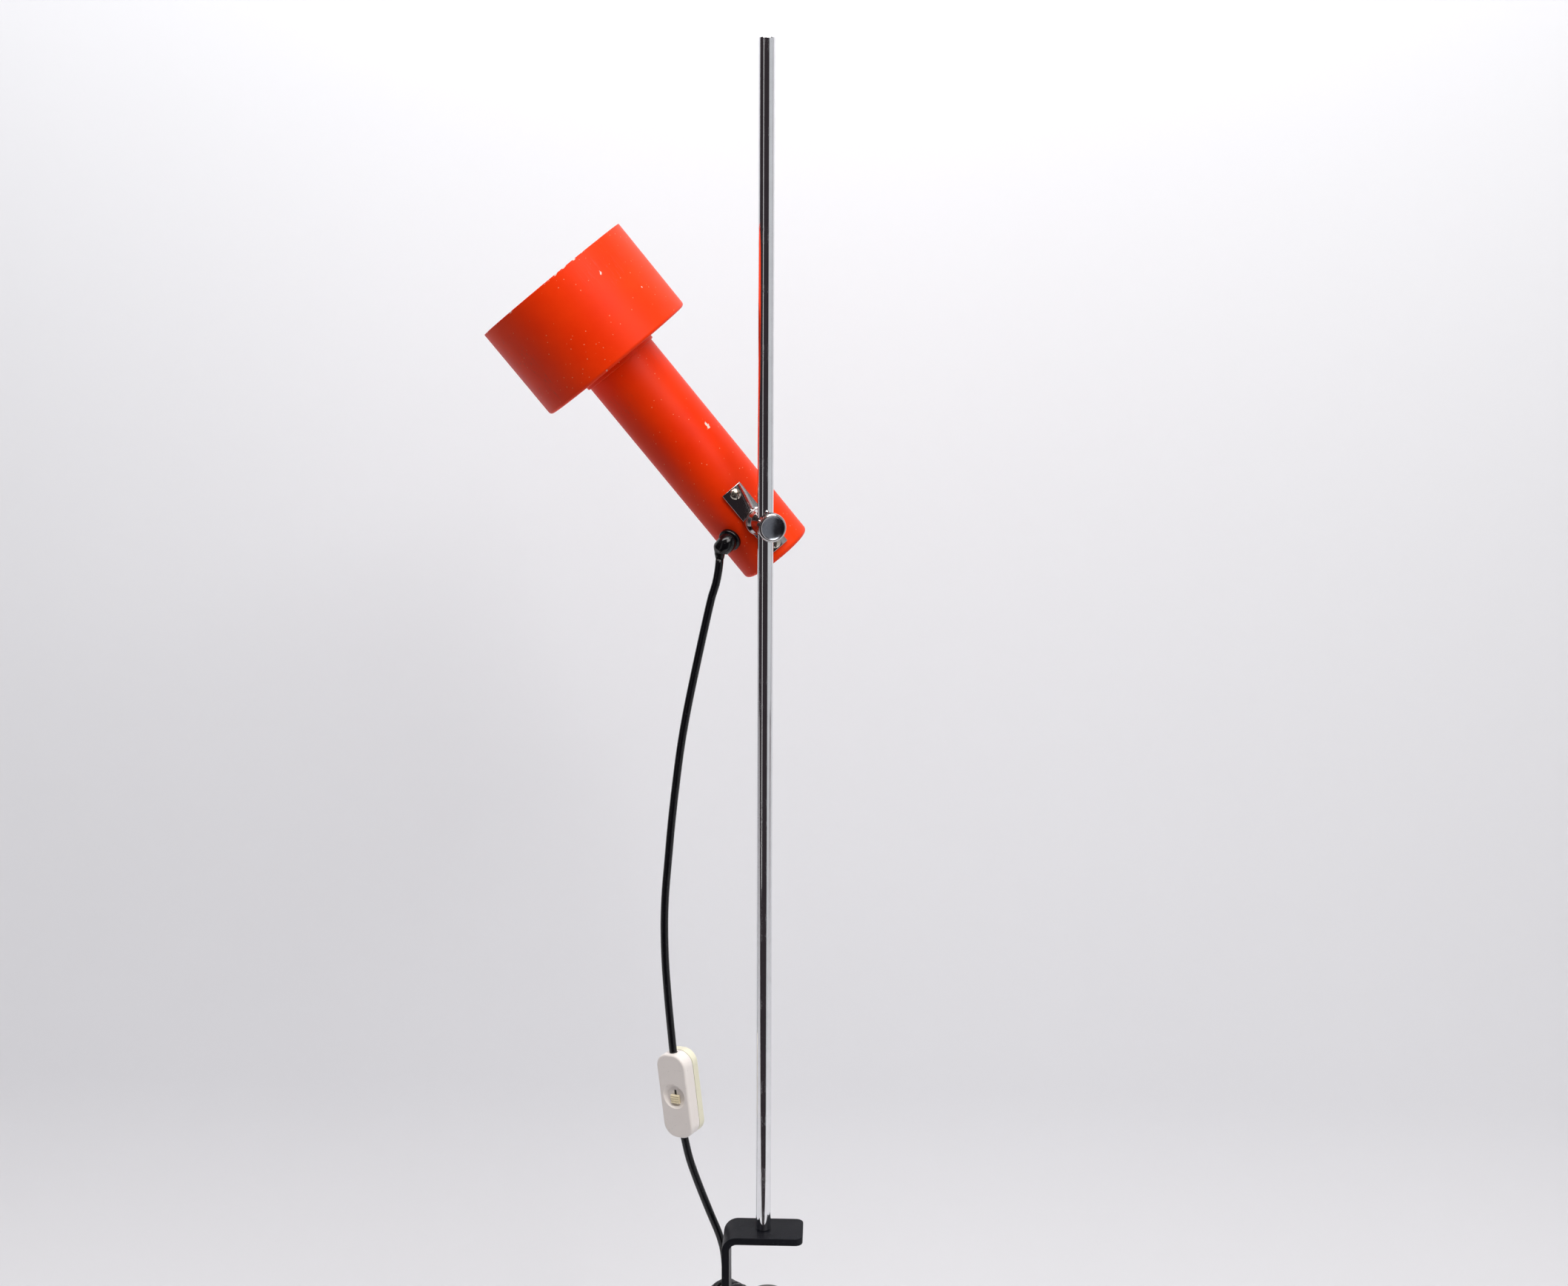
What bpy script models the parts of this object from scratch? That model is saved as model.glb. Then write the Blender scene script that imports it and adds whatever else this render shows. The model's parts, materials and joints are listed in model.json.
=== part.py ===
"""Clamp-on spot lamp: a can-shaped lamp head on a chromed rod that a screw clamp holds to a table edge.

Metres, +Z up. The origin is the middle of the flat underside of the clamp's top arm, right of the rod.
+X is to the right and +Y away from someone who stands in front of the clamp.
"""

import math

import bmesh
import bpy
from mathutils import Vector

# ---------------------------------------------------------------- driving sizes
GAP = 0.0003  # between pieces that touch, and round a shaft in its hole
CUT_PAST = 0.004  # how far a cutter runs past the face that it cuts

POLE_R = 0.005
POLE_TOP = 0.779
POLE_X = -0.014  # the rod's axis, left of the origin
POLE_CHAMFER = 0.0008
POLE_BORE_DEPTH = 0.016
POLE_SCREW_R = 0.003
POLE_SCREW_HEAD_R = 0.006
POLE_SCREW_HEAD_H = 0.0032
POLE_SCREW_KEY = 0.004  # across the flats of its hexagon
POLE_SCREW_KEY_DEPTH = 0.0022
POLE_SCREW_SHORT = 0.002  # left free at the bore's end

CLAMP_WIDTH = 0.030
CLAMP_BAR = 0.005  # thickness of the flat bar
CLAMP_BEND_R = 0.010  # outside of the bends
CLAMP_CORNER_R = 0.005
CLAMP_LEFT = -0.0273  # leg's outer face, from the rod's axis
CLAMP_RIGHT = 0.0267  # end of the top arm, from the rod's axis
CLAMP_OPENING = 0.067  # between the two arms
CLAMP_LOWER_RIGHT = 0.021
CLAMP_SCREW_X = 0.003  # clamp screw's axis, from the rod's axis
CLAMP_SCREW_R = 0.004
CLAMP_SCREW_L = 0.068
CLAMP_TIP_R = 0.0032
CLAMP_TIP_L = 0.0042
PAD_TOP = -0.042  # height of the pad's upper face, which is the table's thickness
PAD_R = 0.012
PAD_CHAMFER = 0.0006
PAD_H = 0.0055
PAD_BORE_DEPTH = 0.0038
LINER_H = 0.0012
GRIP_R = 0.014
GRIP_H = 0.017
GRIP_FLOOR = 0.003
GRIP_CHAMFER = 0.0015
GRIP_HOLLOWS = 6
GRIP_HOLLOW_R = 0.0048
GRIP_HOLLOW_DEPTH = 0.0017

STUD_Z = 0.4832  # height of the stud's axis at rest
SWING = math.radians(19.83)  # turn of the lamp round the rod
TILT = math.radians(38.08)  # head's angle from upright, to the left
LEAN = math.radians(10.07)  # angled seat that leans the head away from the rod
SEAT_DISTANCE = 0.01648  # from the rod's axis to the saddle plate's face
STUD_R = 0.0070
STUD_FOOT_R = 0.0086
SEAT_RING_R = 0.0088
STUD_FOOT = 0.0129
STUD_FLARE_L = 0.0045
STUD_BACK = -0.0088
PIN_R = 0.004
PIN_PAST = 0.0005  # beyond the nut
FRICTION_R = 0.0075
FRICTION_H = 0.0008
INNER_SEAT_MIN = 0.001  # at its thin side
STUD_NUT_FLATS = 0.011
STUD_NUT_H = 0.004
KNOB_R = 0.00915
KNOB_H = 0.0065
KNOB_CHAMFER = 0.0008
KNOB_RIM = 0.0010
KNOB_DISH = 0.0010
KNOB_BORE_DEPTH = 0.0042
STEM_R = 0.003
SHOE_R = 0.0029
SHOE_H = 0.0015

CAN_R = 0.025
CAN_WALL = 0.001
CAN_EDGE_R = 0.003
CAN_FLANGE_W = 0.004
SEAT_T = 0.02822  # from the can's closed end to the stud
SHADE_R = 0.055
SHADE_BACK = 0.16165
SHADE_DEPTH = 0.06505
SHADE_WALL = 0.001
SHADE_EDGE_R = 0.002
COLLAR_L = 0.003
COLLAR_WALL = 0.0012

PLATE_L = 0.0485
PLATE_W = 0.0146
PLATE_WALL = 0.0015
PLATE_MIDDLE = 0.03047  # from the can's closed end
PLATE_SCREW_SPACING = 0.040
PLATE_SCREW_R = 0.002
PLATE_SCREW_HEAD_R = 0.00365
PLATE_SCREW_HEAD_H = 0.0017
PLATE_SLOT_W = 0.0008
PLATE_SLOT_DEPTH = 0.00094
PLATE_SCREW_PAST = 0.001  # inside the bracket

BRACKET_W = 0.018
BRACKET_WALL = 0.0012
BRACKET_START = 0.006
BRACKET_CROSS = 0.0868
BRACKET_REACH = 0.010  # past the can's axis
NIPPLE_R = 0.005
NIPPLE_BORE_R = 0.0035
NIPPLE_L = 0.015
NIPPLE_PAST = 0.001  # beyond its nut
NIPPLE_NUT_FLATS = 0.014
NIPPLE_NUT_H = 0.0035
HOLDER_R = 0.0195
HOLDER_WALL = 0.002
HOLDER_CORNER_R = 0.006
HOLDER_CAP_L = 0.024
HOLDER_SKIRT_L = 0.0335
INSERT_R = 0.0162
INSERT_L = 0.009
INSERT_SHORT = 0.001  # below the cap's end
INSERT_WIRE_R = 0.0026
INSERT_WIRE_X = 0.009
SHELL_R = 0.0143
SHELL_WALL = 0.0005
SHELL_L = 0.026
CONTACT_W = 0.006
CONTACT_WALL = 0.0005
CONTACT_H = 0.0063
BULB_TIP_R = 0.005
BULB_TIP_H = 0.002
BULB_CAP_R = 0.0132
BULB_CAP_L = 0.026
BULB_R = 0.0275
BULB_L = 0.072
BULB_WALL = 0.0008

GLAND_T = 0.0294  # from the can's closed end
GLAND_TURN = math.radians(50)  # round the can, from the stud
GLAND_FLANGE_R = 0.00675
GLAND_FLANGE_H = 0.003
GLAND_BARREL_R = 0.005
GLAND_BARREL_L = 0.010
GLAND_NUT_FLATS = 0.013
GLAND_NUT_H = 0.003
LEAD_R = 0.0011
# the gland's drooping nozzle: its bend in the gland's frame, and its radii
GLAND_BEND = (
    (0.0, 0.0, 0.0010),
    (-0.0002, 0.0002, 0.0040),
    (-0.0018, 0.0014, 0.0067),
    (-0.0045, 0.0005, 0.0086),
    (-0.0062, -0.0020, 0.0098),
    (-0.0077, -0.0043, 0.0109),
)
GLAND_RADII = (0.0058, 0.0061, 0.0060, 0.0052, 0.0042, 0.0034)

CORD_R = 0.0025
SWITCH_PLACE = (-0.0724, 0.0215, 0.0915)
SWITCH_TILT = math.radians(-6.3)
SWITCH_TURN = math.radians(-30)
SWITCH_L = 0.060
SWITCH_W = 0.023
SWITCH_CORNER_R = 0.0095
SWITCH_FRONT = -0.0055  # from the cord's axis, to the front
SWITCH_SEAM = 0.0043
SWITCH_REAR = 0.0110
SWITCH_WALL = 0.0017
DISH_R = 0.0088
DISH_FLOOR_R = 0.0062
DISH_DEPTH = 0.0022
DISH_WALL = 0.0015
SLIDER_W = 0.0068
SLIDER_L = 0.0062
SLIDER_TRAVEL = 0.0045
SLIDER_PROUD = 0.0019
SLIDER_FLANGE = 0.0013  # past the slider on each side, behind the slot
STRIP_H = 0.0005
STRIP_W = 0.003
STRIP_L = 0.012
STRIP_Y = 0.0115  # each contact strip's middle
BRIDGE_L = 0.016
SLIDER_FLANGE_H = 0.0012
SWITCH_POST_WALL = 0.0012
SWITCH_SCREW_R = 0.0013
SWITCH_SCREW_HEAD_R = 0.0025
SWITCH_SCREW_HEAD_H = 0.0004
SWITCH_SCREW_SUNK = 0.0005  # its head's underside, below the rear face
SWITCH_SCREW_X = 0.0078

HANK_TURN = math.radians(138.4)  # direction of the hank from the rod
HANK_INNER = 0.0358  # first column of turns, from the rod's axis
HANK_PITCH = 0.0053
HANK_COLUMNS = 5
HANK_BEND_R = 0.016
HANK_TOP = -0.078  # centres of the upper bends
HANK_RUN = 0.0889
TIE_H = 0.012
TIE_WALL = 0.0012
TIE_CORNER_R = 0.002
PLUG_TOP = -0.212
PLUG_RELIEF_L = 0.022
PLUG_RELIEF_R = 0.0048
PLUG_RELIEF_TIP_WALL = 0.0008
PLUG_L = 0.034
PLUG_W = 0.0353
PLUG_NECK_W = 0.020
PLUG_THICK = 0.0137
PLUG_PIN_R = 0.002
PLUG_PIN_L = 0.019
PLUG_PIN_SPACING = 0.0186
PLUG_PIN_HELD = 0.0075  # inside the body
PLUG_ROUNDING = 0.0018

# the cord's own points, from the gland down to the switch and from the switch down to the hank
CORD_UPPER = (
    (-0.0438, 0.0162, 0.4591),
    (-0.0446, 0.0163, 0.4510),
    (-0.0466, 0.0163, 0.4410),
    (-0.0494, 0.0164, 0.4320),
    (-0.0569, 0.0170, 0.3984),
    (-0.0646, 0.0175, 0.3616),
    (-0.0692, 0.0179, 0.3355),
    (-0.0728, 0.0183, 0.3087),
    (-0.0759, 0.0187, 0.2816),
    (-0.0784, 0.0191, 0.2548),
    (-0.0803, 0.0194, 0.2329),
    (-0.0811, 0.0197, 0.2112),
    (-0.0807, 0.0201, 0.1862),
    (-0.0792, 0.0205, 0.1614),
    (-0.0777, 0.0208, 0.1426),
    (-0.0759, 0.0211, 0.1220),
)
CORD_LOWER = (
    (-0.0689, 0.0219, 0.0610),
    (-0.0655, 0.0222, 0.0450),
    (-0.0611, 0.0224, 0.0310),
    (-0.0560, 0.0226, 0.0167),
    (-0.0505, 0.0228, 0.0021),
    (-0.0459, 0.0230, -0.0096),
    (-0.0426, 0.0233, -0.0211),
    (-0.0411, 0.0236, -0.0340),
    (-0.0408, 0.0238, -0.0480),
    (-0.0408, 0.0238, -0.0630),
)
CORD_STEP = 0.0115  # between the tube's points

# ---------------------------------------------------------------- sizes that follow
POLE_FOOT = CLAMP_BAR + GAP
POLE_HOLE_R = POLE_SCREW_R + GAP
JAW_FLOOR = -CLAMP_OPENING
PLATE_R = CAN_R + GAP + PLATE_WALL  # saddle plate's outer face, from the can's axis
CAN_INNER_R = CAN_R - CAN_WALL
CAN_FLANGE_R = CAN_R + CAN_FLANGE_W
BRACKET_OUT = math.sqrt((CAN_INNER_R - GAP) ** 2 - (BRACKET_W / 2) ** 2)
BRACKET_IN = BRACKET_OUT - BRACKET_WALL
SEAT_END = SEAT_DISTANCE + (PLATE_R - BRACKET_IN) / math.cos(LEAN)
FRICTION_START = SEAT_END + FRICTION_R * math.tan(LEAN) + 2 * GAP + INNER_SEAT_MIN
STUD_NUT_START = FRICTION_START + FRICTION_H + GAP
PIN_END = STUD_NUT_START + STUD_NUT_H + PIN_PAST
KNOB_BACK = STUD_BACK - GAP
SHOE_FRONT = -(POLE_R + GAP)
HOLDER_START = BRACKET_CROSS + BRACKET_WALL + GAP
HOLDER_CAP_END = HOLDER_START + HOLDER_CAP_L
SKIRT_START = HOLDER_CAP_END + GAP
INSERT_END = HOLDER_CAP_END - INSERT_SHORT
SHELL_START = INSERT_END + GAP
BULB_TIP = SHELL_START + CONTACT_H + 2 * GAP
BULB_CAP_START = BULB_TIP + BULB_TIP_H + GAP
BULB_START = BULB_CAP_START + BULB_CAP_L + GAP
HANK_LAST = HANK_INNER + (HANK_COLUMNS - 1) * HANK_PITCH
HANK_EDGE = CORD_R + GAP
SWITCH_FLOOR = SWITCH_FRONT + DISH_DEPTH + DISH_WALL


# ---------------------------------------------------------------- tools
def empty(name, parent=None, place=(0, 0, 0), turn=(0, 0, 0)):
    """A frame that pieces are parented to."""
    frame = bpy.data.objects.new(name, None)
    bpy.context.scene.collection.objects.link(frame)
    frame.parent = parent
    frame.location = place
    frame.rotation_euler = turn
    return frame


def material(name, colour, roughness, metallic=0.0):
    made = bpy.data.materials.new(name)
    made.use_nodes = True
    shader = made.node_tree.nodes["Principled BSDF"]
    shader.inputs["Base Color"].default_value = (*colour, 1)
    shader.inputs["Roughness"].default_value = roughness
    shader.inputs["Metallic"].default_value = metallic
    made.diffuse_color = (*colour, 1)
    return made


def make(name, bm, parent, finish, smooth=True):
    """The object of a finished bmesh, in its parent's frame."""
    mesh = bpy.data.meshes.new(name)
    bmesh.ops.recalc_face_normals(bm, faces=bm.faces)
    bm.to_mesh(mesh)
    bm.free()
    if smooth:
        mesh.shade_smooth()
        mesh.set_sharp_from_angle(angle=math.radians(35))
    piece = bpy.data.objects.new(name, mesh)
    bpy.context.scene.collection.objects.link(piece)
    piece.parent = parent
    if finish:
        mesh.materials.append(finish)
    else:
        piece.hide_render = True
        piece.display_type = "WIRE"
    return piece


def arc(centre, radius, start, end, steps):
    """Points of an arc, with its angles in degrees."""
    angles = [math.radians(start + (end - start) * i / steps) for i in range(steps + 1)]
    return [(centre[0] + radius * math.cos(a), centre[1] + radius * math.sin(a)) for a in angles]


def turned(name, section, parent, finish=None, steps=32):
    """Spins a section of (radius, height) points. It starts and ends on the axis, or closes on itself."""
    bm = bmesh.new()
    verts = [bm.verts.new((r, 0, h)) for r, h in section]
    edges = [bm.edges.new(pair) for pair in zip(verts, verts[1:])]
    if section[0][0] > 0:
        edges.append(bm.edges.new((verts[-1], verts[0])))
    bmesh.ops.spin(bm, geom=verts + edges, cent=(0, 0, 0), axis=(0, 0, 1),
                   angle=2 * math.pi, steps=steps, use_merge=True)
    bmesh.ops.remove_doubles(bm, verts=bm.verts, dist=1e-7)
    return make(name, bm, parent, finish)


def rod(name, radius, low, high, parent, finish=None, steps=20, chamfer=0.0):
    """A solid cylinder along its frame's Z."""
    side = [(radius, high - chamfer), (radius, low + chamfer)]
    if chamfer:
        side = [(radius - chamfer, high), *side, (radius - chamfer, low)]
    return turned(name, [(0, high), *side, (0, low)], parent, finish, steps)


def ring(name, inner, outer, low, high, parent, finish, steps=24):
    """A tube or a washer along its frame's Z."""
    section = [(outer, high), (outer, low), (inner, low), (inner, high)]
    return turned(name, section, parent, finish, steps)


def extruded(name, outline, low, high, parent, finish=None, smooth=True):
    """Pulls an outline in the frame's XY up along Z."""
    bm = bmesh.new()
    face = bm.faces.new([bm.verts.new((x, y, low)) for x, y in outline])
    pulled = bmesh.ops.extrude_face_region(bm, geom=[face])["geom"]
    moved = [v for v in pulled if isinstance(v, bmesh.types.BMVert)]
    bmesh.ops.translate(bm, verts=moved, vec=(0, 0, high - low))
    return make(name, bm, parent, finish, smooth)


def rounded_rect(width, height, radius, steps=5, centre=(0, 0)):
    """A rectangle's outline with round corners."""
    x, y = width / 2 - radius, height / 2 - radius
    corners = ((x, y, 0), (-x, y, 90), (-x, -y, 180), (x, -y, 270))
    points = []
    for cx, cy, start in corners:
        points += arc((centre[0] + cx, centre[1] + cy), radius, start, start + 90, steps)
    return points


def hexagon(flats):
    radius = flats / 2 / math.cos(math.radians(30))
    return arc((0, 0), radius, 0, 300, 5)


def nut(name, flats, hole_r, low, high, parent, finish):
    piece = extruded(name, hexagon(flats), low, high, parent, finish, smooth=False)
    cut(piece, rod(name + "_hole", hole_r, low - CUT_PAST, high + CUT_PAST, parent))
    return piece


def boolean(piece, other, operation):
    step = piece.modifiers.new(other.name, "BOOLEAN")
    step.operation = operation
    step.solver = "EXACT"
    step.object = other


def cut(piece, *cutters):
    for cutter in cutters:
        boolean(piece, cutter, "DIFFERENCE")


def join(piece, *others):
    for other in others:
        boolean(piece, other, "UNION")


def smooth_points(route, step):
    """Evenly spaced points on a smooth curve through a route's own points."""
    points = [Vector(p) for p in route]
    points = [2 * points[0] - points[1], *points, 2 * points[-1] - points[-2]]
    fine = []
    for a, b, c, d in zip(points, points[1:], points[2:], points[3:]):
        for i in range(40):
            t = i / 40
            fine.append(0.5 * (2 * b + (c - a) * t + (2 * a - 5 * b + 4 * c - d) * t * t
                               + (3 * b - a - 3 * c + d) * t ** 3))
    fine.append(points[-2])
    lengths = [0.0]
    for a, b in zip(fine, fine[1:]):
        lengths.append(lengths[-1] + (b - a).length)
    count = max(2, round(lengths[-1] / step))
    picked, at = [], 0
    for i in range(count + 1):
        wanted = lengths[-1] * i / count
        while at < len(fine) - 2 and lengths[at + 1] < wanted:
            at += 1
        share = (wanted - lengths[at]) / max(lengths[at + 1] - lengths[at], 1e-9)
        picked.append(fine[at].lerp(fine[at + 1], min(1.0, share)))
    return picked


def tube(name, points, radii, parent, finish, resolution=2):
    """A round tube through points, as a curve with filled caps. radii is one radius or one for each point."""
    data = bpy.data.curves.new(name, "CURVE")
    data.dimensions = "3D"
    data.resolution_u = 1
    data.use_fill_caps = True
    data.bevel_resolution = resolution
    spline = data.splines.new("POLY")
    spline.points.add(len(points) - 1)
    widest = max(radii) if isinstance(radii, list) else radii
    data.bevel_depth = widest
    for i, (point, place) in enumerate(zip(spline.points, points)):
        point.co = (*place, 1)
        point.radius = radii[i] / widest if isinstance(radii, list) else 1.0
    piece = bpy.data.objects.new(name, data)
    bpy.context.scene.collection.objects.link(piece)
    piece.parent = parent
    data.materials.append(finish)
    return piece


def swept_tool(name, points, radii, parent):
    """The same tube as a closed mesh, for a Boolean."""
    curve = tube(name + "_guide", points, radii, parent, None, resolution=3)
    bpy.context.view_layer.update()
    graph = bpy.context.evaluated_depsgraph_get()
    mesh = bpy.data.meshes.new_from_object(curve.evaluated_get(graph))
    bm = bmesh.new()
    bm.from_mesh(mesh)
    bmesh.ops.remove_doubles(bm, verts=bm.verts, dist=1e-6)
    bpy.data.objects.remove(curve)
    return make(name, bm, parent, None)


# ---------------------------------------------------------------- clamp
def clamp_outline():
    """The bent bar seen from the front: top arm, leg and lower arm."""
    left, inner, bend = CLAMP_LEFT, CLAMP_BEND_R - CLAMP_BAR, CLAMP_BEND_R
    top, low = CLAMP_BAR, JAW_FLOOR - CLAMP_BAR
    points = [(CLAMP_RIGHT, 0), (CLAMP_RIGHT, top)]
    points += arc((left + bend, top - bend), bend, 90, 180, 6)
    points += arc((left + bend, low + bend), bend, 180, 270, 6)
    points += [(CLAMP_LOWER_RIGHT, low), (CLAMP_LOWER_RIGHT, JAW_FLOOR)]
    points += arc((left + bend, low + bend), inner, 270, 180, 4)
    points += arc((left + bend, top - bend), inner, 180, 90, 4)
    return points


def build_clamp_frame(pole_axis, black):
    """Flat steel bar, bent to a C, with a countersunk hole for the rod and a hole for the clamp screw."""
    flat = empty("clamp_bar", pole_axis, (0, CLAMP_WIDTH / 2, 0), (math.pi / 2, 0, 0))
    frame = extruded("clamp_frame", clamp_outline(), 0, CLAMP_WIDTH, flat, black)
    corners = frame.modifiers.new("corners", "BEVEL")
    corners.width = CLAMP_CORNER_R
    corners.segments = 4
    corners.limit_method = "WEIGHT"
    weights = frame.data.attributes.new("bevel_weight_edge", "FLOAT", "EDGE")
    for edge in frame.data.edges:
        a, b = (frame.data.vertices[i].co for i in edge.vertices)
        upright = abs(a.x - b.x) < 1e-6 and abs(a.z - b.z) < 1e-6
        at_end = min(a.x, b.x) > CLAMP_LOWER_RIGHT - 1e-4
        weights.data[edge.index].value = 1.0 if upright and at_end else 0.0
    screw_axis = empty("clamp_screw_hole", pole_axis, (CLAMP_SCREW_X, 0, 0))
    cut(
        frame,
        rod("pole_screw_hole", POLE_HOLE_R, -CUT_PAST, CLAMP_BAR + CUT_PAST, pole_axis),
        turned("pole_screw_sink", sink_section(GAP, -CUT_PAST), pole_axis),
        rod("clamp_screw_bore", CLAMP_SCREW_R + GAP, JAW_FLOOR - CLAMP_BAR - CUT_PAST,
            JAW_FLOOR + CUT_PAST, screw_axis),
    )
    return frame


def sink_section(clearance, low):
    """Section of a countersunk head's room: a cone that widens to the arm's underside."""
    wide, height = POLE_SCREW_HEAD_R + clearance, POLE_SCREW_HEAD_H + clearance
    return [(0, height), (POLE_SCREW_R, height), (wide, 0), (wide, low), (0, low)]


def build_clamp_screw(pole_axis, black, steel, felt, plastic):
    """Screw with a turned tip, a lobed grip, and a pad with a liner that the tip turns in."""
    axis = empty("clamp_screw_axis", pole_axis, (CLAMP_SCREW_X, 0, 0))
    pad_low = PAD_TOP - LINER_H - GAP - PAD_H
    pad = rod("clamp_pad", PAD_R, pad_low, pad_low + PAD_H, axis, black, 28, PAD_CHAMFER)
    cut(pad, rod("clamp_pad_bore", CLAMP_TIP_R + GAP, pad_low - CUT_PAST, pad_low + PAD_BORE_DEPTH, axis))
    rod("clamp_pad_liner", PAD_R - PAD_CHAMFER, PAD_TOP - LINER_H, PAD_TOP, axis, felt, 28)
    tip = pad_low + PAD_BORE_DEPTH - GAP
    shoulder = tip - CLAMP_TIP_L
    low = shoulder - CLAMP_SCREW_L
    section = [(0, tip), (CLAMP_TIP_R, tip), (CLAMP_TIP_R, shoulder), (CLAMP_SCREW_R, shoulder),
               (CLAMP_SCREW_R, low), (0, low)]
    turned("clamp_screw", section, axis, steel, 20)
    build_grip(axis, low, plastic)


def build_grip(axis, screw_low, plastic):
    """Moulded grip with finger hollows round its side, on the screw's lower end."""
    low = screw_low - GRIP_FLOOR
    high = low + GRIP_H
    grip = rod("clamp_grip", GRIP_R, low, high, axis, plastic, 36, GRIP_CHAMFER)
    cut(grip, rod("clamp_grip_bore", CLAMP_SCREW_R + GAP, screw_low - GAP, high + CUT_PAST, axis))
    for i in range(GRIP_HOLLOWS):
        turn = empty(f"clamp_grip_turn_{i}", axis, (0, 0, 0), (0, 0, 2 * math.pi * i / GRIP_HOLLOWS))
        side = empty(f"clamp_grip_side_{i}", turn, (GRIP_R + GRIP_HOLLOW_R - GRIP_HOLLOW_DEPTH, 0, 0))
        hollow = rod(f"clamp_grip_hollow_{i}", GRIP_HOLLOW_R, low - CUT_PAST, high + CUT_PAST, side, steps=12)
        cut(grip, hollow)


# ---------------------------------------------------------------- rod
def build_pole(pole_axis, chrome, steel):
    pole = rod("pole", POLE_R, POLE_FOOT, POLE_TOP, pole_axis, chrome, 28, POLE_CHAMFER)
    cut(pole, rod("pole_bore", POLE_HOLE_R, POLE_FOOT - CUT_PAST, POLE_FOOT + POLE_BORE_DEPTH, pole_axis))
    top = POLE_FOOT + POLE_BORE_DEPTH - POLE_SCREW_SHORT
    section = [(0, top), (POLE_SCREW_R, top), (POLE_SCREW_R, POLE_SCREW_HEAD_H),
               (POLE_SCREW_HEAD_R, GAP), (0, GAP)]
    screw = turned("pole_screw", section, pole_axis, steel, 20)
    key = hexagon(POLE_SCREW_KEY)
    cut(screw, extruded("pole_screw_key", key, -CUT_PAST, POLE_SCREW_KEY_DEPTH, pole_axis))


# ---------------------------------------------------------------- tilt joint
def build_stud(stud_axis, carriage, chrome, steel):
    """Cross-bored stud that the rod passes through, with a pin that carries the head."""
    section = [(0, PIN_END), (PIN_R, PIN_END), (PIN_R, STUD_FOOT), (STUD_FOOT_R, STUD_FOOT),
               (STUD_R, STUD_FOOT - STUD_FLARE_L), (STUD_R, STUD_BACK), (0, STUD_BACK)]
    stud = turned("tilt_stud", section, stud_axis, chrome)
    past = STUD_FOOT_R + CUT_PAST
    cut(
        stud,
        rod("stud_cross_bore", POLE_R + GAP, -past, past, carriage, steps=28),
        rod("stud_thread_bore", STEM_R + GAP, STUD_BACK - CUT_PAST, 0, stud_axis),
    )
    hole, washer, start = PIN_R + GAP, FRICTION_START, STUD_NUT_START
    ring("friction_washer", hole, FRICTION_R, washer, washer + FRICTION_H, stud_axis, steel)
    nut("stud_nut", STUD_NUT_FLATS, hole, start, start + STUD_NUT_H, stud_axis, steel)


def build_lock_knob(stud_axis, chrome, brass):
    """Knurled knob whose screw presses a brass shoe on the rod."""
    front, narrow = KNOB_BACK - KNOB_H, KNOB_R - KNOB_CHAMFER
    section = [(0, KNOB_BACK), (narrow, KNOB_BACK), (KNOB_R, KNOB_BACK - KNOB_CHAMFER),
               (KNOB_R, front + KNOB_CHAMFER), (narrow, front), (narrow - KNOB_RIM / 2, front),
               (narrow - KNOB_RIM, front + KNOB_DISH / 2), (0, front + KNOB_DISH)]
    knob = turned("lock_knob", section, stud_axis, chrome, 36)
    cut(knob, rod("knob_bore", STEM_R + GAP, KNOB_BACK - KNOB_BORE_DEPTH, KNOB_BACK + CUT_PAST, stud_axis))
    shoe_back = SHOE_FRONT - SHOE_H
    rod("knob_stem", STEM_R, KNOB_BACK - KNOB_BORE_DEPTH + GAP, shoe_back - GAP, stud_axis, brass)
    rod("pressure_shoe", SHOE_R, shoe_back, SHOE_FRONT, stud_axis, brass, 20)


# ---------------------------------------------------------------- lamp head
def pin_hole(name, stud_axis):
    return rod(name, PIN_R + GAP, STUD_FOOT - CUT_PAST, PIN_END + CUT_PAST, stud_axis)


def across(name, parent, t):
    """A frame on the can's axis whose Z points out through the saddle plate."""
    return empty(name, parent, (0, 0, t), (math.pi / 2, 0, 0))


def plate_screw_places():
    half = PLATE_SCREW_SPACING / 2
    return (("rear", PLATE_MIDDLE - half), ("front", PLATE_MIDDLE + half))


def screw_hole(name, neck, t):
    side = across(name + "_side", neck, t)
    return rod(name, PLATE_SCREW_R + GAP, BRACKET_IN - CUT_PAST, PLATE_R + CUT_PAST, side, steps=20)


def build_can(neck, stud_axis, gland, red):
    """Spun aluminium can with a closed rear end and a flange at its mouth, inside the shade."""
    flange = SHADE_BACK + SHADE_WALL + GAP
    centre = (CAN_R - CAN_EDGE_R, CAN_EDGE_R)
    section = [(0, 0), *arc(centre, CAN_EDGE_R, -90, 0, 3), (CAN_R, flange), (CAN_FLANGE_R, flange),
               (CAN_FLANGE_R, flange + CAN_WALL), (CAN_INNER_R, flange + CAN_WALL),
               *arc(centre, CAN_EDGE_R - CAN_WALL, 0, -90, 2), (0, CAN_WALL)]
    can = turned("lamp_can", section, neck, red, 48)
    cut(can, pin_hole("can_pin_hole", stud_axis))
    for name, t in plate_screw_places():
        cut(can, screw_hole(f"can_screw_hole_{name}", neck, t))
    cut(can, rod("can_gland_hole", GLAND_BARREL_R + GAP, -CUT_PAST, CUT_PAST, gland))


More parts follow.
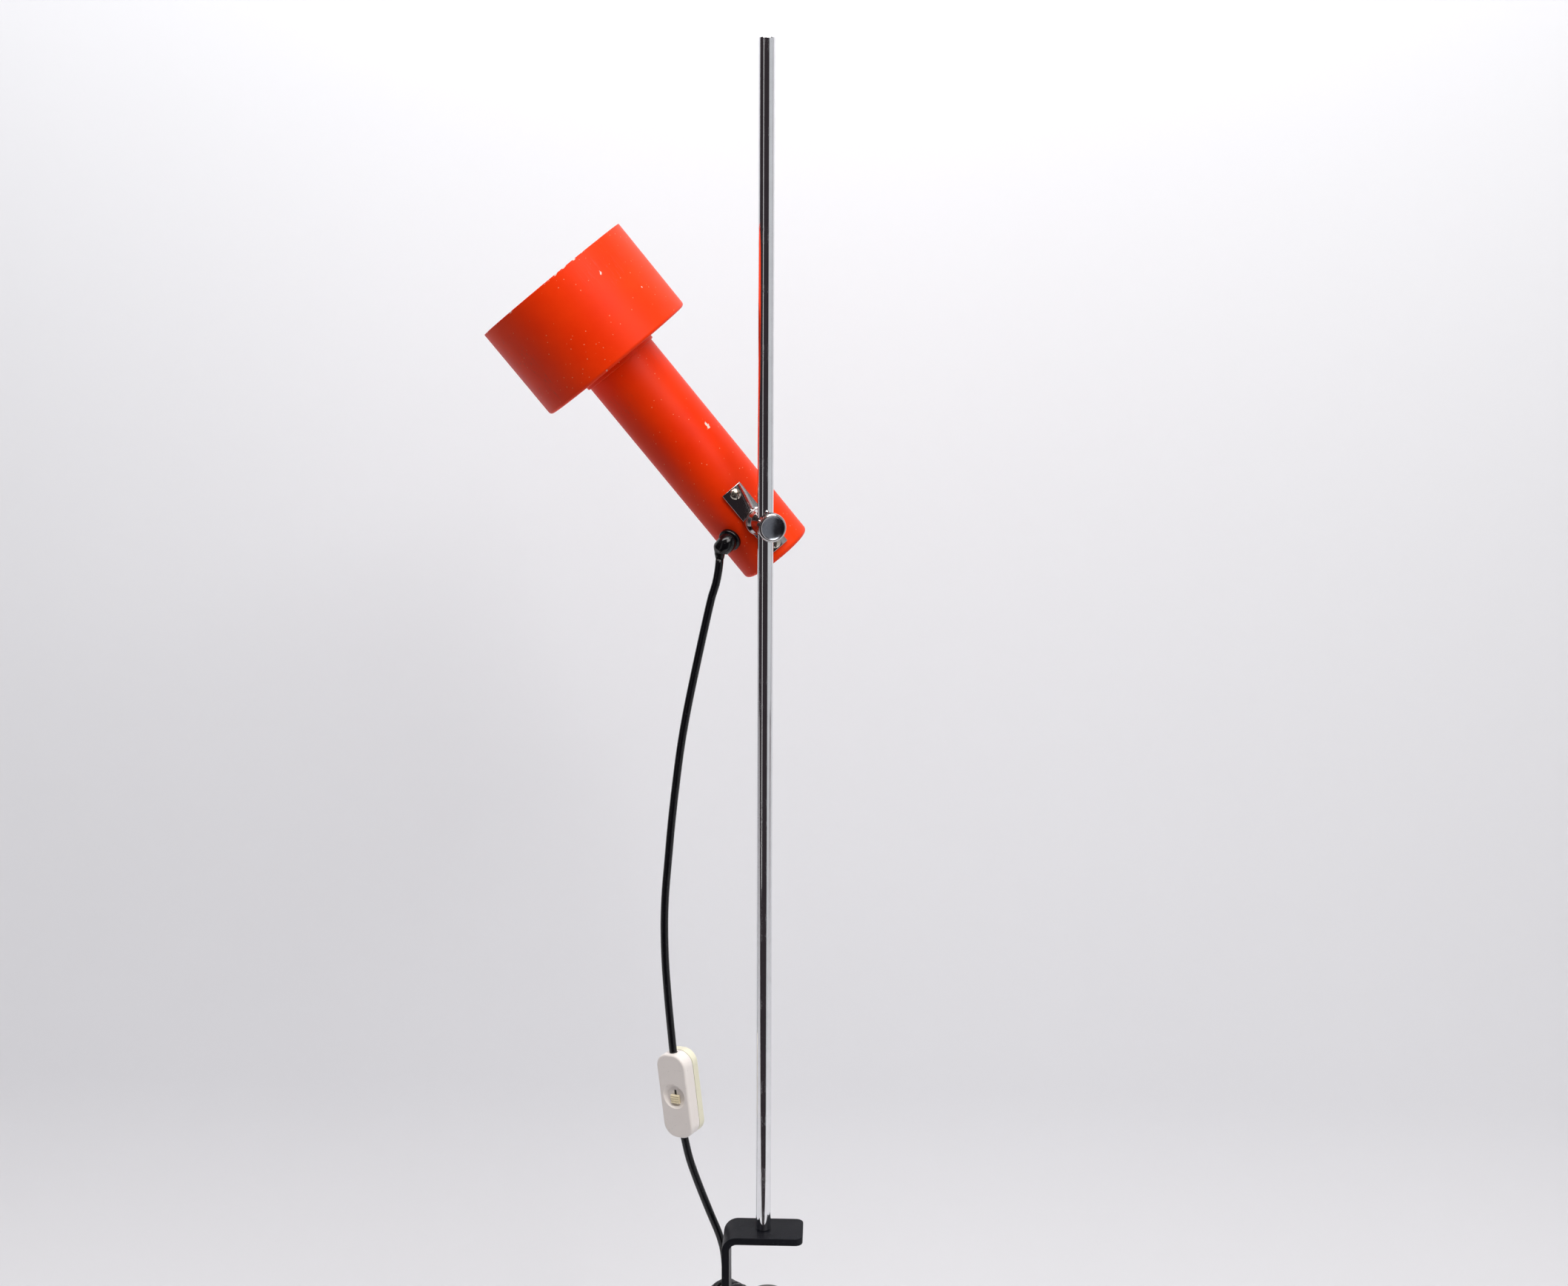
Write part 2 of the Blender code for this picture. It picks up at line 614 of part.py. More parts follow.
def build_shade(neck, red):
    """Spun shade with a flat back that the can's mouth passes through."""
    back, front = SHADE_BACK, SHADE_BACK + SHADE_DEPTH
    outer = arc((SHADE_R - SHADE_EDGE_R, back + SHADE_EDGE_R), SHADE_EDGE_R, -90, 0, 3)
    inner = arc((SHADE_R - SHADE_EDGE_R, back + SHADE_EDGE_R), SHADE_EDGE_R - SHADE_WALL, 0, -90, 2)
    hole = CAN_R + GAP
    section = [(hole, back), *outer, (SHADE_R, front), (SHADE_R - SHADE_WALL, front), *inner,
               (hole, back + SHADE_WALL)]
    turned("shade", section, neck, red, 56)
    end = back - GAP
    ring("shade_collar", CAN_R + GAP, CAN_R + GAP + COLLAR_WALL, end - COLLAR_L, end, neck, red, 48)


def plate_outline(width, wall, inner_r):
    """The saddle plate's section: a strip that follows the can."""
    half = math.degrees(math.asin(width / 2 / (inner_r + wall)))
    outer = arc((0, 0), inner_r + wall, -90 - half, -90 + half, 10)
    return outer + arc((0, 0), inner_r, -90 + half, -90 - half, 10)


def build_saddle(neck, stud_axis, chrome, steel):
    """Curved plate screwed to the can, and the two angled seats that the stud turns between."""
    start = PLATE_MIDDLE - PLATE_L / 2
    outline = plate_outline(PLATE_W, PLATE_WALL, CAN_R + GAP)
    plate = extruded("saddle_plate", outline, start, start + PLATE_L, neck, chrome)
    cut(plate, pin_hole("plate_pin_hole", stud_axis))
    for name, t in plate_screw_places():
        cut(plate, screw_hole(f"plate_screw_hole_{name}", neck, t))
        build_plate_screw(name, neck, t, steel)
    hole = PIN_R + GAP
    low, high = STUD_FOOT + GAP, SEAT_DISTANCE + PLATE_WALL
    seat = ring("stud_seat", hole, SEAT_RING_R, low, high, stud_axis, chrome)
    cut(seat, rod("can_outside", PLATE_R + GAP, start - CUT_PAST, start + PLATE_L, neck, steps=72))
    rise = FRICTION_R * math.tan(LEAN) + GAP
    inner = ring("inner_seat", hole, FRICTION_R, SEAT_END - rise, FRICTION_START - GAP, stud_axis, steel)
    side = across("inner_seat_side", neck, SEAT_T)
    cut(inner, rod("bracket_inside", 2 * CAN_R, BRACKET_IN - GAP, BRACKET_IN + CUT_PAST, side))


def build_plate_screw(name, neck, t, steel):
    """Slotted screw with a domed head."""
    side = across(f"plate_screw_{name}_axis", neck, t)
    seat = PLATE_R + GAP
    dome = [(PLATE_SCREW_HEAD_R * math.cos(a), seat + PLATE_SCREW_HEAD_H * math.sin(a))
            for a in (math.radians(90 - 22.5 * i) for i in range(5))]
    dome[0] = (0, dome[0][1])
    end = BRACKET_IN - PLATE_SCREW_PAST
    section = dome + [(PLATE_SCREW_R, seat), (PLATE_SCREW_R, end), (0, end)]
    screw = turned(f"plate_screw_{name}", section, side, steel, 16)
    slot = rounded_rect(3 * PLATE_SCREW_HEAD_R, PLATE_SLOT_W, PLATE_SLOT_W / 4, 1)
    top = seat + PLATE_SCREW_HEAD_H
    cut(screw, extruded(f"plate_screw_slot_{name}", slot, top - PLATE_SLOT_DEPTH, top + CUT_PAST, side))


def build_bracket(neck, stud_axis, steel):
    """Bent strip inside the can that takes the plate's screws and carries the bulb holder."""
    side = empty("bracket_side", neck, (-BRACKET_W / 2, 0, 0), (math.pi / 2, 0, math.pi / 2))
    cross, wall = BRACKET_CROSS, BRACKET_WALL
    outline = [(-BRACKET_OUT, BRACKET_START), (-BRACKET_IN, BRACKET_START), (-BRACKET_IN, cross),
               (BRACKET_REACH, cross), (BRACKET_REACH, cross + wall), (-BRACKET_OUT, cross + wall)]
    bracket = extruded("holder_bracket", outline, 0, BRACKET_W, side, steel, smooth=False)
    cut(bracket, pin_hole("bracket_pin_hole", stud_axis),
        rod("bracket_nipple_hole", NIPPLE_R + GAP, cross - CUT_PAST, cross + wall + CUT_PAST, neck))
    for name, t in plate_screw_places():
        cut(bracket, screw_hole(f"bracket_screw_hole_{name}", neck, t))


def build_holder(neck, steel, brass, bakelite, ceramic):
    """Screw-type bulb holder: threaded nipple and nut, cap, skirt, ceramic insert, shell and contact."""
    nut_end = BRACKET_CROSS - GAP
    low = nut_end - NIPPLE_NUT_H - NIPPLE_PAST
    ring("holder_nipple", NIPPLE_BORE_R, NIPPLE_R, low, low + NIPPLE_L, neck, steel, 24)
    nut("holder_nut", NIPPLE_NUT_FLATS, NIPPLE_R + GAP, nut_end - NIPPLE_NUT_H, nut_end, neck, steel)
    start, end, wall = HOLDER_START, HOLDER_CAP_END, HOLDER_WALL
    hole, round_r = NIPPLE_R + GAP, HOLDER_CORNER_R
    outer = arc((HOLDER_R - round_r, start + round_r), round_r, -90, 0, 3)
    inner = arc((HOLDER_R - round_r, start + round_r), round_r - wall, 0, -90, 3)
    turned("holder_cap", [(hole, start), *outer, (HOLDER_R, end), (HOLDER_R - wall, end), *inner,
                          (hole, start + wall)], neck, bakelite, 28)
    skirt_end = SKIRT_START + HOLDER_SKIRT_L
    ring("holder_skirt", SHELL_R + 2 * GAP, HOLDER_R, SKIRT_START, skirt_end, neck, bakelite)
    low, high = INSERT_END - INSERT_L, INSERT_END
    insert = rod("holder_insert", INSERT_R, low, high, neck, ceramic, 24, CONTACT_WALL)
    wire_axis = empty("insert_wire_axis", neck, (INSERT_WIRE_X, 0, 0))
    cut(insert, rod("insert_wire_hole", INSERT_WIRE_R, low - CUT_PAST, high + CUT_PAST, wire_axis, steps=12))
    ring("screw_shell", SHELL_R - SHELL_WALL, SHELL_R, SHELL_START, SHELL_START + SHELL_L, neck, brass)
    build_centre_contact(neck, brass)


def build_centre_contact(neck, brass):
    """Bent spring strip that stands on the insert and touches the bulb's tip."""
    place = (-CONTACT_W / 2, 0, SHELL_START + GAP)
    side = empty("centre_contact_side", neck, place, (math.pi / 2, 0, math.pi / 2))
    wall, high = CONTACT_WALL, CONTACT_H
    outline = [(0.009, 0), (0.009, wall), (-0.0055, wall), (-0.0045, high - wall),
               (0.004, high - wall), (0.004, high), (-0.0050, high), (-0.0065, 0)]
    extruded("centre_contact", outline, 0, CONTACT_W, side, brass, smooth=False)


def build_bulb(neck, glass, brass, solder):
    """Pear bulb: solder tip, screw cap and a glass envelope that is open into its cap."""
    rod("bulb_tip", BULB_TIP_R, BULB_TIP, BULB_TIP + BULB_TIP_H, neck, solder, 24, 0.0008)
    start, end = BULB_CAP_START, BULB_CAP_START + BULB_CAP_L
    cap = [(0, start), (BULB_TIP_R + 0.001, start), (BULB_CAP_R, start + 0.005), (BULB_CAP_R, end),
           (BULB_CAP_R - 0.0006, end), (BULB_CAP_R - 0.0006, start + 0.006), (0, start + 0.002)]
    turned("bulb_cap", cap, neck, brass)
    foot_r, middle = BULB_CAP_R - 0.0008, BULB_START + BULB_L - BULB_R
    steps = 7
    neck_curve = [(foot_r + (BULB_R - foot_r) * (1 - math.cos(math.pi * i / steps)) / 2,
                   BULB_START + (middle - BULB_START) * i / steps) for i in range(steps)]
    outer = neck_curve + arc((0, middle), BULB_R, 0, 90, 6)
    inner = [(r - BULB_WALL, t) for r, t in neck_curve] + arc((0, middle), BULB_R - BULB_WALL, 0, 90, 6)
    outer[-1], inner[-1] = (0, outer[-1][1]), (0, inner[-1][1])
    turned("bulb_glass", list(reversed(outer)) + inner, neck, glass, 28)


# ---------------------------------------------------------------- cord, gland and leads
def build_gland(gland, black, steel):
    """Moulded gland: flange outside the can, threaded barrel through it, nozzle that droops to the cord."""
    low = GAP
    flange = [(0, low + GLAND_FLANGE_H), (GLAND_FLANGE_R - 0.001, low + GLAND_FLANGE_H),
              (GLAND_FLANGE_R, low + GLAND_FLANGE_H - 0.001), (GLAND_FLANGE_R, low),
              (GLAND_BARREL_R, low), (GLAND_BARREL_R, -GLAND_BARREL_L), (0, -GLAND_BARREL_L)]
    piece = turned("cord_gland", flange, gland, black, 28)
    join(piece, swept_tool("gland_nozzle", GLAND_BEND, list(GLAND_RADII), gland))
    corner = GLAND_NUT_FLATS / 2 / math.cos(math.radians(30))
    high = math.sqrt(CAN_INNER_R ** 2 - corner ** 2) - CAN_R - GAP
    nut("gland_nut", GLAND_NUT_FLATS, GLAND_BARREL_R + GAP, high - GLAND_NUT_H, high, gland, steel)


def build_leads(neck, brown, blue):
    """Two insulated leads, side by side, from the gland to the bulb holder's insert."""
    inside = CAN_R - GLAND_BARREL_L - 0.001
    out_x, out_y = -math.sin(GLAND_TURN), -math.cos(GLAND_TURN)
    entry = HOLDER_START + HOLDER_WALL + 0.006
    stations = ((inside, GLAND_T), (0.85 * inside, GLAND_T + 0.006), (0.45 * inside, GLAND_T + 0.020),
                (0.1 * inside, GLAND_T + 0.038), (0, BRACKET_CROSS - 0.008), (0, entry))
    for name, finish, side in (("lead_brown", brown, LEAD_R + GAP), ("lead_blue", blue, -LEAD_R - GAP)):
        route = [(r * out_x - side * out_y, r * out_y + side * out_x, t) for r, t in stations]
        tube(name, smooth_points(route, 0.006), LEAD_R, neck, finish)


def build_switch(switch, cream, ivory, brass, steel):
    """In-line switch: front and rear shells, slider with its bridge, two contact strips and two screws."""
    outline = rounded_rect(SWITCH_W, SWITCH_L, SWITCH_CORNER_R)
    wall = SWITCH_WALL
    cavity = rounded_rect(SWITCH_W - 2 * wall, SWITCH_L - 2 * wall, SWITCH_CORNER_R - wall)
    floor = SWITCH_FLOOR
    front = extruded("switch_front", outline, SWITCH_FRONT, SWITCH_SEAM, switch, cream)
    notch = rounded_rect(2 * (CORD_R + GAP), 2 * (CORD_R + GAP + SWITCH_SEAM), CORD_R, 4, (0, SWITCH_SEAM))
    ends = empty("switch_cord_line", switch, (0, 0, 0), (math.pi / 2, 0, 0))
    cut(front, extruded("switch_front_cavity", cavity, floor, SWITCH_SEAM + CUT_PAST, switch))
    for i, x in enumerate((-SWITCH_SCREW_X, SWITCH_SCREW_X)):
        axis = empty(f"switch_post_axis_{i}", switch, (x, 0, 0))
        post_r = SWITCH_SCREW_R + SWITCH_POST_WALL
        join(front, rod(f"switch_post_{i}", post_r, floor - DISH_WALL / 2, SWITCH_SEAM, axis, steps=20))
    dish = [(0, SWITCH_FRONT + DISH_DEPTH), (DISH_FLOOR_R, SWITCH_FRONT + DISH_DEPTH), (DISH_R, SWITCH_FRONT),
            (DISH_R, SWITCH_FRONT - CUT_PAST), (0, SWITCH_FRONT - CUT_PAST)]
    slot = rounded_rect(SLIDER_W + 2 * GAP, SLIDER_L + SLIDER_TRAVEL + 2 * GAP, 0.0004, 1)
    way = extruded("switch_slot", slot, SWITCH_FRONT, floor + DISH_WALL, switch)
    cut(front, turned("switch_dish", dish, switch), way)
    rear = extruded("switch_rear", outline, SWITCH_SEAM + GAP, SWITCH_REAR, switch, ivory)
    cut(rear, extruded("switch_rear_cavity", cavity, SWITCH_SEAM - CUT_PAST, SWITCH_REAR - wall, switch))
    cut(front, extruded("switch_cord_way", notch, -SWITCH_L, SWITCH_L, ends))
    for i, x in enumerate((-SWITCH_SCREW_X, SWITCH_SCREW_X)):
        build_switch_screw(f"switch_screw_{i + 1}", switch, x, front, rear, steel)
    build_slider(switch, ivory, brass)


def build_switch_screw(name, switch, x, front, rear, steel):
    """Self-tapping screw from the rear shell into the front shell's post."""
    axis = empty(name + "_axis", switch, (x, 0, 0))
    head = SWITCH_REAR - SWITCH_SCREW_SUNK
    top = head + SWITCH_SCREW_HEAD_H
    tip = SWITCH_FLOOR + DISH_WALL
    hole, room, past = SWITCH_SCREW_R + GAP, SWITCH_SCREW_HEAD_R + GAP, SWITCH_REAR + CUT_PAST
    cut(front, rod(name + "_post_hole", hole, tip - GAP, SWITCH_SEAM + CUT_PAST, axis, steps=16))
    cut(rear, rod(name + "_hole", hole, SWITCH_SEAM, past, axis, steps=16),
        rod(name + "_head_room", room, head - GAP, past, axis, steps=20))
    section = [(0, top), (SWITCH_SCREW_HEAD_R, top), (SWITCH_SCREW_HEAD_R, head), (SWITCH_SCREW_R, head),
               (SWITCH_SCREW_R, tip), (0, tip)]
    turned(name, section, axis, steel, 16)


def build_slider(switch, ivory, brass):
    """Slider at the lower end of its slot, and the contact strips behind it."""
    rest = empty("switch_slider_rest", switch, (0, -SLIDER_TRAVEL / 2, 0))
    floor, face = SWITCH_FLOOR, SWITCH_FRONT + DISH_DEPTH - SLIDER_PROUD
    low = floor + GAP + SLIDER_FLANGE_H
    head = rounded_rect(SLIDER_W, SLIDER_L, 0.0003, 1)
    slider = extruded("switch_slider", head, face, low - SLIDER_FLANGE_H / 2, rest, ivory)
    crest = slider.modifiers.new("crest", "BEVEL")
    crest.width = 0.0006
    crest.segments = 2
    crest.limit_method = "ANGLE"
    flange = rounded_rect(SLIDER_W + 2 * SLIDER_FLANGE, SLIDER_L + 2 * SLIDER_FLANGE, 0.0005, 1)
    join(slider, extruded("slider_flange", flange, floor + GAP, low, rest))
    low += GAP
    extruded("switch_bridge", rounded_rect(STRIP_W, BRIDGE_L, 0.0004, 1), low, low + STRIP_H, rest, brass)
    low += STRIP_H + GAP
    strip = rounded_rect(STRIP_W, STRIP_L, 0.0004, 1)
    for name, y in (("switch_contact_in", STRIP_Y), ("switch_contact_out", -STRIP_Y)):
        extruded(name, strip, low, low + STRIP_H, empty(name + "_place", switch, (0, y, 0)), brass)


def build_hank(hank, cord_black, tie_black):
    """Coiled spare length, its strap and the plug on a short tail."""
    side = empty("hank_side", hank, (0, 0, 0), (math.pi / 2, 0, math.pi / 2))
    width, height = 2 * (HANK_BEND_R + HANK_EDGE), HANK_RUN + 2 * (HANK_BEND_R + HANK_EDGE)
    middle = (-HANK_BEND_R, HANK_TOP - HANK_RUN / 2)
    low, high = HANK_INNER - HANK_EDGE, HANK_LAST + HANK_EDGE
    outline = rounded_rect(width, height, width / 2 - 0.00001, 8, middle)
    extruded("cord_hank", outline, low, high, side, cord_black)
    flat = empty("tie_place", hank, ((low + high) / 2, middle[0], middle[1]))
    inner = (high - low + 2 * GAP, width + 2 * GAP)
    outer = [size + 2 * TIE_WALL for size in inner]
    tie = extruded("cord_tie", rounded_rect(*outer, TIE_CORNER_R), -TIE_H / 2, TIE_H / 2, flat, tie_black)
    cut(tie, extruded("tie_room", rounded_rect(*inner, 2 * GAP, 2), -TIE_H, TIE_H, flat))


def build_plug(hank, cord_black, steel):
    """Flat two-pin plug that hangs from the hank's last turn, with its tapered relief."""
    line = empty("plug_line", hank, (HANK_LAST, 0, PLUG_TOP))
    chord = HANK_BEND_R - CORD_R
    start = HANK_TOP - HANK_RUN - math.sqrt((HANK_BEND_R + HANK_EDGE) ** 2 - chord ** 2) - GAP
    tail = [(0, 0, GAP + (start - PLUG_TOP - GAP) * i / 3) for i in range(4)]
    tube("cord_tail", list(reversed(tail)), CORD_R, line, cord_black)
    root = -PLUG_RELIEF_L - CUT_PAST
    section = [(0, 0), (CORD_R + PLUG_RELIEF_TIP_WALL, 0), (PLUG_RELIEF_R, -PLUG_RELIEF_L),
               (PLUG_RELIEF_R, root), (0, root)]
    relief = turned("plug_relief", section, line, steps=24)
    flat = empty("plug_flat", line, (-PLUG_THICK / 2, 0, -PLUG_RELIEF_L), (math.pi / 2, 0, math.pi / 2))
    wide, neck, long = PLUG_W / 2, PLUG_NECK_W / 2, PLUG_L
    outline = [(neck, 0), (-neck, 0), (-wide, -0.45 * long), (-wide, -0.8 * long), (-wide + 0.003, -long),
               (wide - 0.003, -long), (wide, -0.8 * long), (wide, -0.45 * long)]
    body = extruded("plug_body", outline, 0, PLUG_THICK, flat, cord_black)
    rounding = body.modifiers.new("rounding", "BEVEL")
    rounding.width = PLUG_ROUNDING
    rounding.segments = 2
    join(body, relief)
    for name, y in (("plug_pin_1", -PLUG_PIN_SPACING / 2), ("plug_pin_2", PLUG_PIN_SPACING / 2)):
        pin = empty(name + "_axis", line, (0, y, -PLUG_RELIEF_L - PLUG_L))
        cut(body, rod(name + "_bore", PLUG_PIN_R + GAP, -CUT_PAST, PLUG_PIN_HELD + GAP, pin, steps=20))
        rod(name, PLUG_PIN_R, -PLUG_PIN_L, PLUG_PIN_HELD, pin, steel, 20, PLUG_PIN_R / 3)


# ---------------------------------------------------------------- assembly
def build():
    for old in list(bpy.data.objects):
        bpy.data.objects.remove(old)
    chrome = material("chrome", (0.80, 0.80, 0.82), 0.07, 1.0)
    steel = material("steel", (0.58, 0.58, 0.60), 0.30, 1.0)
    brass = material("brass", (0.80, 0.62, 0.30), 0.28, 1.0)
    solder = material("solder", (0.66, 0.66, 0.66), 0.35, 1.0)
    red = material("orange_red_paint", (0.80, 0.055, 0.012), 0.28)
    black = material("black_paint", (0.018, 0.019, 0.024), 0.45)
    plastic = material("black_plastic", (0.015, 0.015, 0.016), 0.30)
    cord_black = material("cord_black", (0.010, 0.010, 0.012), 0.22)
    cream = material("cream_plastic", (0.78, 0.68, 0.62), 0.40)
    ivory = material("ivory_plastic", (0.80, 0.74, 0.50), 0.40)
    felt = material("grey_felt", (0.16, 0.16, 0.15), 0.95)
    bakelite = material("bakelite", (0.030, 0.018, 0.012), 0.35)
    ceramic = material("ceramic", (0.82, 0.80, 0.76), 0.35)
    ruby = material("ruby_glass", (0.45, 0.010, 0.012), 0.12)
    brown = material("brown_lead", (0.16, 0.055, 0.02), 0.45)
    blue = material("blue_lead", (0.02, 0.10, 0.42), 0.45)

    pole_axis = empty("pole_axis", None, (POLE_X, 0, 0))
    carriage = empty("carriage", pole_axis, (0, 0, STUD_Z), (0, 0, SWING))
    stud_axis = empty("stud_axis", carriage, (0, 0, 0), (-math.pi / 2, 0, 0))
    tilt_axis = empty("tilt_axis", carriage, (0, 0, 0), (0, -TILT, 0))
    neck = empty("can_axis", tilt_axis, can_place(), (-LEAN, 0, 0))
    gland_turn = empty("gland_turn", neck, (0, 0, GLAND_T), (0, 0, -GLAND_TURN))
    gland = empty("gland_axis", gland_turn, (0, -CAN_R, 0), (math.pi / 2, 0, 0))
    switch_line = empty("switch_line", None, SWITCH_PLACE, (0, SWITCH_TILT, 0))
    switch_turn = empty("switch_turn", switch_line, (0, 0, 0), (0, 0, SWITCH_TURN))
    switch = empty("switch_face", switch_turn, (0, 0, 0), (math.pi / 2, 0, math.pi))
    hank = empty("hank_place", pole_axis, (0, 0, 0), (0, 0, HANK_TURN))

    build_clamp_frame(pole_axis, black)
    build_clamp_screw(pole_axis, black, steel, felt, plastic)
    build_pole(pole_axis, chrome, steel)
    build_stud(stud_axis, carriage, chrome, steel)
    build_lock_knob(stud_axis, chrome, brass)
    build_can(neck, stud_axis, gland, red)
    build_shade(neck, red)
    build_saddle(neck, stud_axis, chrome, steel)
    build_bracket(neck, stud_axis, steel)
    build_holder(neck, steel, brass, bakelite, ceramic)
    build_bulb(neck, ruby, brass, solder)
    build_gland(gland, plastic, steel)
    build_leads(neck, brown, blue)
    build_switch(switch, cream, ivory, brass, steel)
    build_hank(hank, cord_black, plastic)
    build_plug(hank, cord_black, steel)
    tube("cord_upper", smooth_points(CORD_UPPER, CORD_STEP), CORD_R, None, cord_black)
    tube("cord_lower", smooth_points(CORD_LOWER, CORD_STEP), CORD_R, None, cord_black)


def can_place():
    """The can's closed end in the tilting frame: its axis leans away from the rod at the saddle plate."""
    along = Vector((0, math.sin(LEAN), math.cos(LEAN)))
    out = Vector((0, -math.cos(LEAN), math.sin(LEAN)))
    return Vector((0, SEAT_DISTANCE, 0)) - out * PLATE_R - along * SEAT_T


build()
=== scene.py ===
"""Clamp-on spot lamp: the looks of every piece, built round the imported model.

Metres, +Z up. The origin is the middle of the flat underside of the clamp's top arm.
"""

import json
import math

import bmesh
import bpy
from mathutils import Matrix, Vector


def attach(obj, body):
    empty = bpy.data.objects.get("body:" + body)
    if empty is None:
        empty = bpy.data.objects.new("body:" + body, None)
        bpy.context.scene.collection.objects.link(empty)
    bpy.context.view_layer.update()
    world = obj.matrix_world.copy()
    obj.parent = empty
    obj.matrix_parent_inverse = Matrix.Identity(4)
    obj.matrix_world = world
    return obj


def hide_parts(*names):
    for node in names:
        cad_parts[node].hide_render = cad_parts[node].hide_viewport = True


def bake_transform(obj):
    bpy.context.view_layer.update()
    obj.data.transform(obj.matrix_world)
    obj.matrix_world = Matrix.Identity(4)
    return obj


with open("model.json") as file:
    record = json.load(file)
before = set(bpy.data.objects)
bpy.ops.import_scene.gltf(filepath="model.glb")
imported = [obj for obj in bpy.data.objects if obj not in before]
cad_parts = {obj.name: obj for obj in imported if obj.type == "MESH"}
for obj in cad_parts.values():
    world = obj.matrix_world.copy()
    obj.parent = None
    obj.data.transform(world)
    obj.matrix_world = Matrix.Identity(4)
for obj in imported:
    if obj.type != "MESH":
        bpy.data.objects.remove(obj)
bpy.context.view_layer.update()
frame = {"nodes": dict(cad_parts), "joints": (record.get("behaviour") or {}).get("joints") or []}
joints = {joint["name"]: joint for joint in frame["joints"]}

# ---------------------------------------------------------------- clamp bar
# Flat steel bar, bent to a C round the table's edge, with the corners of its free ends rounded off.
# It is enamelled satin black, and the rod's screw sits countersunk under the top arm.


def corners_in(node, place=None):
    """A CAD node's corners, in the frame that place gives."""
    back = (place or Matrix()).inverted()
    return [back @ v.co for v in frame["nodes"][node].data.vertices]


def reach(node, place=None):
    """Lowest and highest corner of a CAD node, in the frame that place gives."""
    points = corners_in(node, place)
    return [Vector([pick(p[i] for p in points) for i in range(3)]) for pick in (min, max)]


def add(tree, kind, inputs=None, **settings):
    """One shader node with its settings, and its inputs as values or links."""
    made = tree.nodes.new(kind)
    for name, value in settings.items():
        setattr(made, name, value)
    for name, value in (inputs or {}).items():
        if isinstance(value, bpy.types.NodeSocket):
            tree.links.new(value, made.inputs[name])
        else:
            made.inputs[name].default_value = value
    return made


def start_material(name, **sockets):
    """A material, its node tree and its shader, with the values that are the same all over the surface."""
    made = bpy.data.materials.new(name)
    made.use_nodes = True
    shader = made.node_tree.nodes["Principled BSDF"]
    for socket, value in sockets.items():
        shader.inputs[socket.replace("_", " ")].default_value = value
    return made, made.node_tree, shader


def object_place(tree, place=None):
    """Object coordinates, in the frame that place gives."""
    own = add(tree, "ShaderNodeTexCoord").outputs["Object"]
    if place is None:
        return own
    turn = place.to_euler()
    inputs = {"Vector": own, "Location": place.translation, "Rotation": turn}
    return add(tree, "ShaderNodeMapping", inputs, vector_type="TEXTURE").outputs["Vector"]


def between(tree, value, low, high, to_low=0.0, to_high=1.0):
    """A value's range moved to another, and held within it."""
    inputs = {"Value": value, "From Min": low, "From Max": high, "To Min": to_low, "To Max": to_high}
    return add(tree, "ShaderNodeMapRange", inputs, clamp=True).outputs["Result"]


def mixed(tree, share, first, second):
    """Two colours mixed by a mask."""
    made = add(tree, "ShaderNodeMix", data_type="RGBA")
    tree.links.new(share, made.inputs[0])
    for socket, colour in ((made.inputs[6], first), (made.inputs[7], second)):
        if isinstance(colour, bpy.types.NodeSocket):
            tree.links.new(colour, socket)
        else:
            socket.default_value = (*colour, 1)
    return made.outputs[2]


def bumped(tree, shader, height, distance, strength=1.0, chained=None):
    """Height into the shader's normal, in metres."""
    inputs = {"Height": height, "Distance": distance, "Strength": strength}
    if chained:
        inputs["Normal"] = chained
    made = add(tree, "ShaderNodeBump", inputs)
    tree.links.new(made.outputs["Normal"], shader.inputs["Normal"])
    return made.outputs["Normal"]


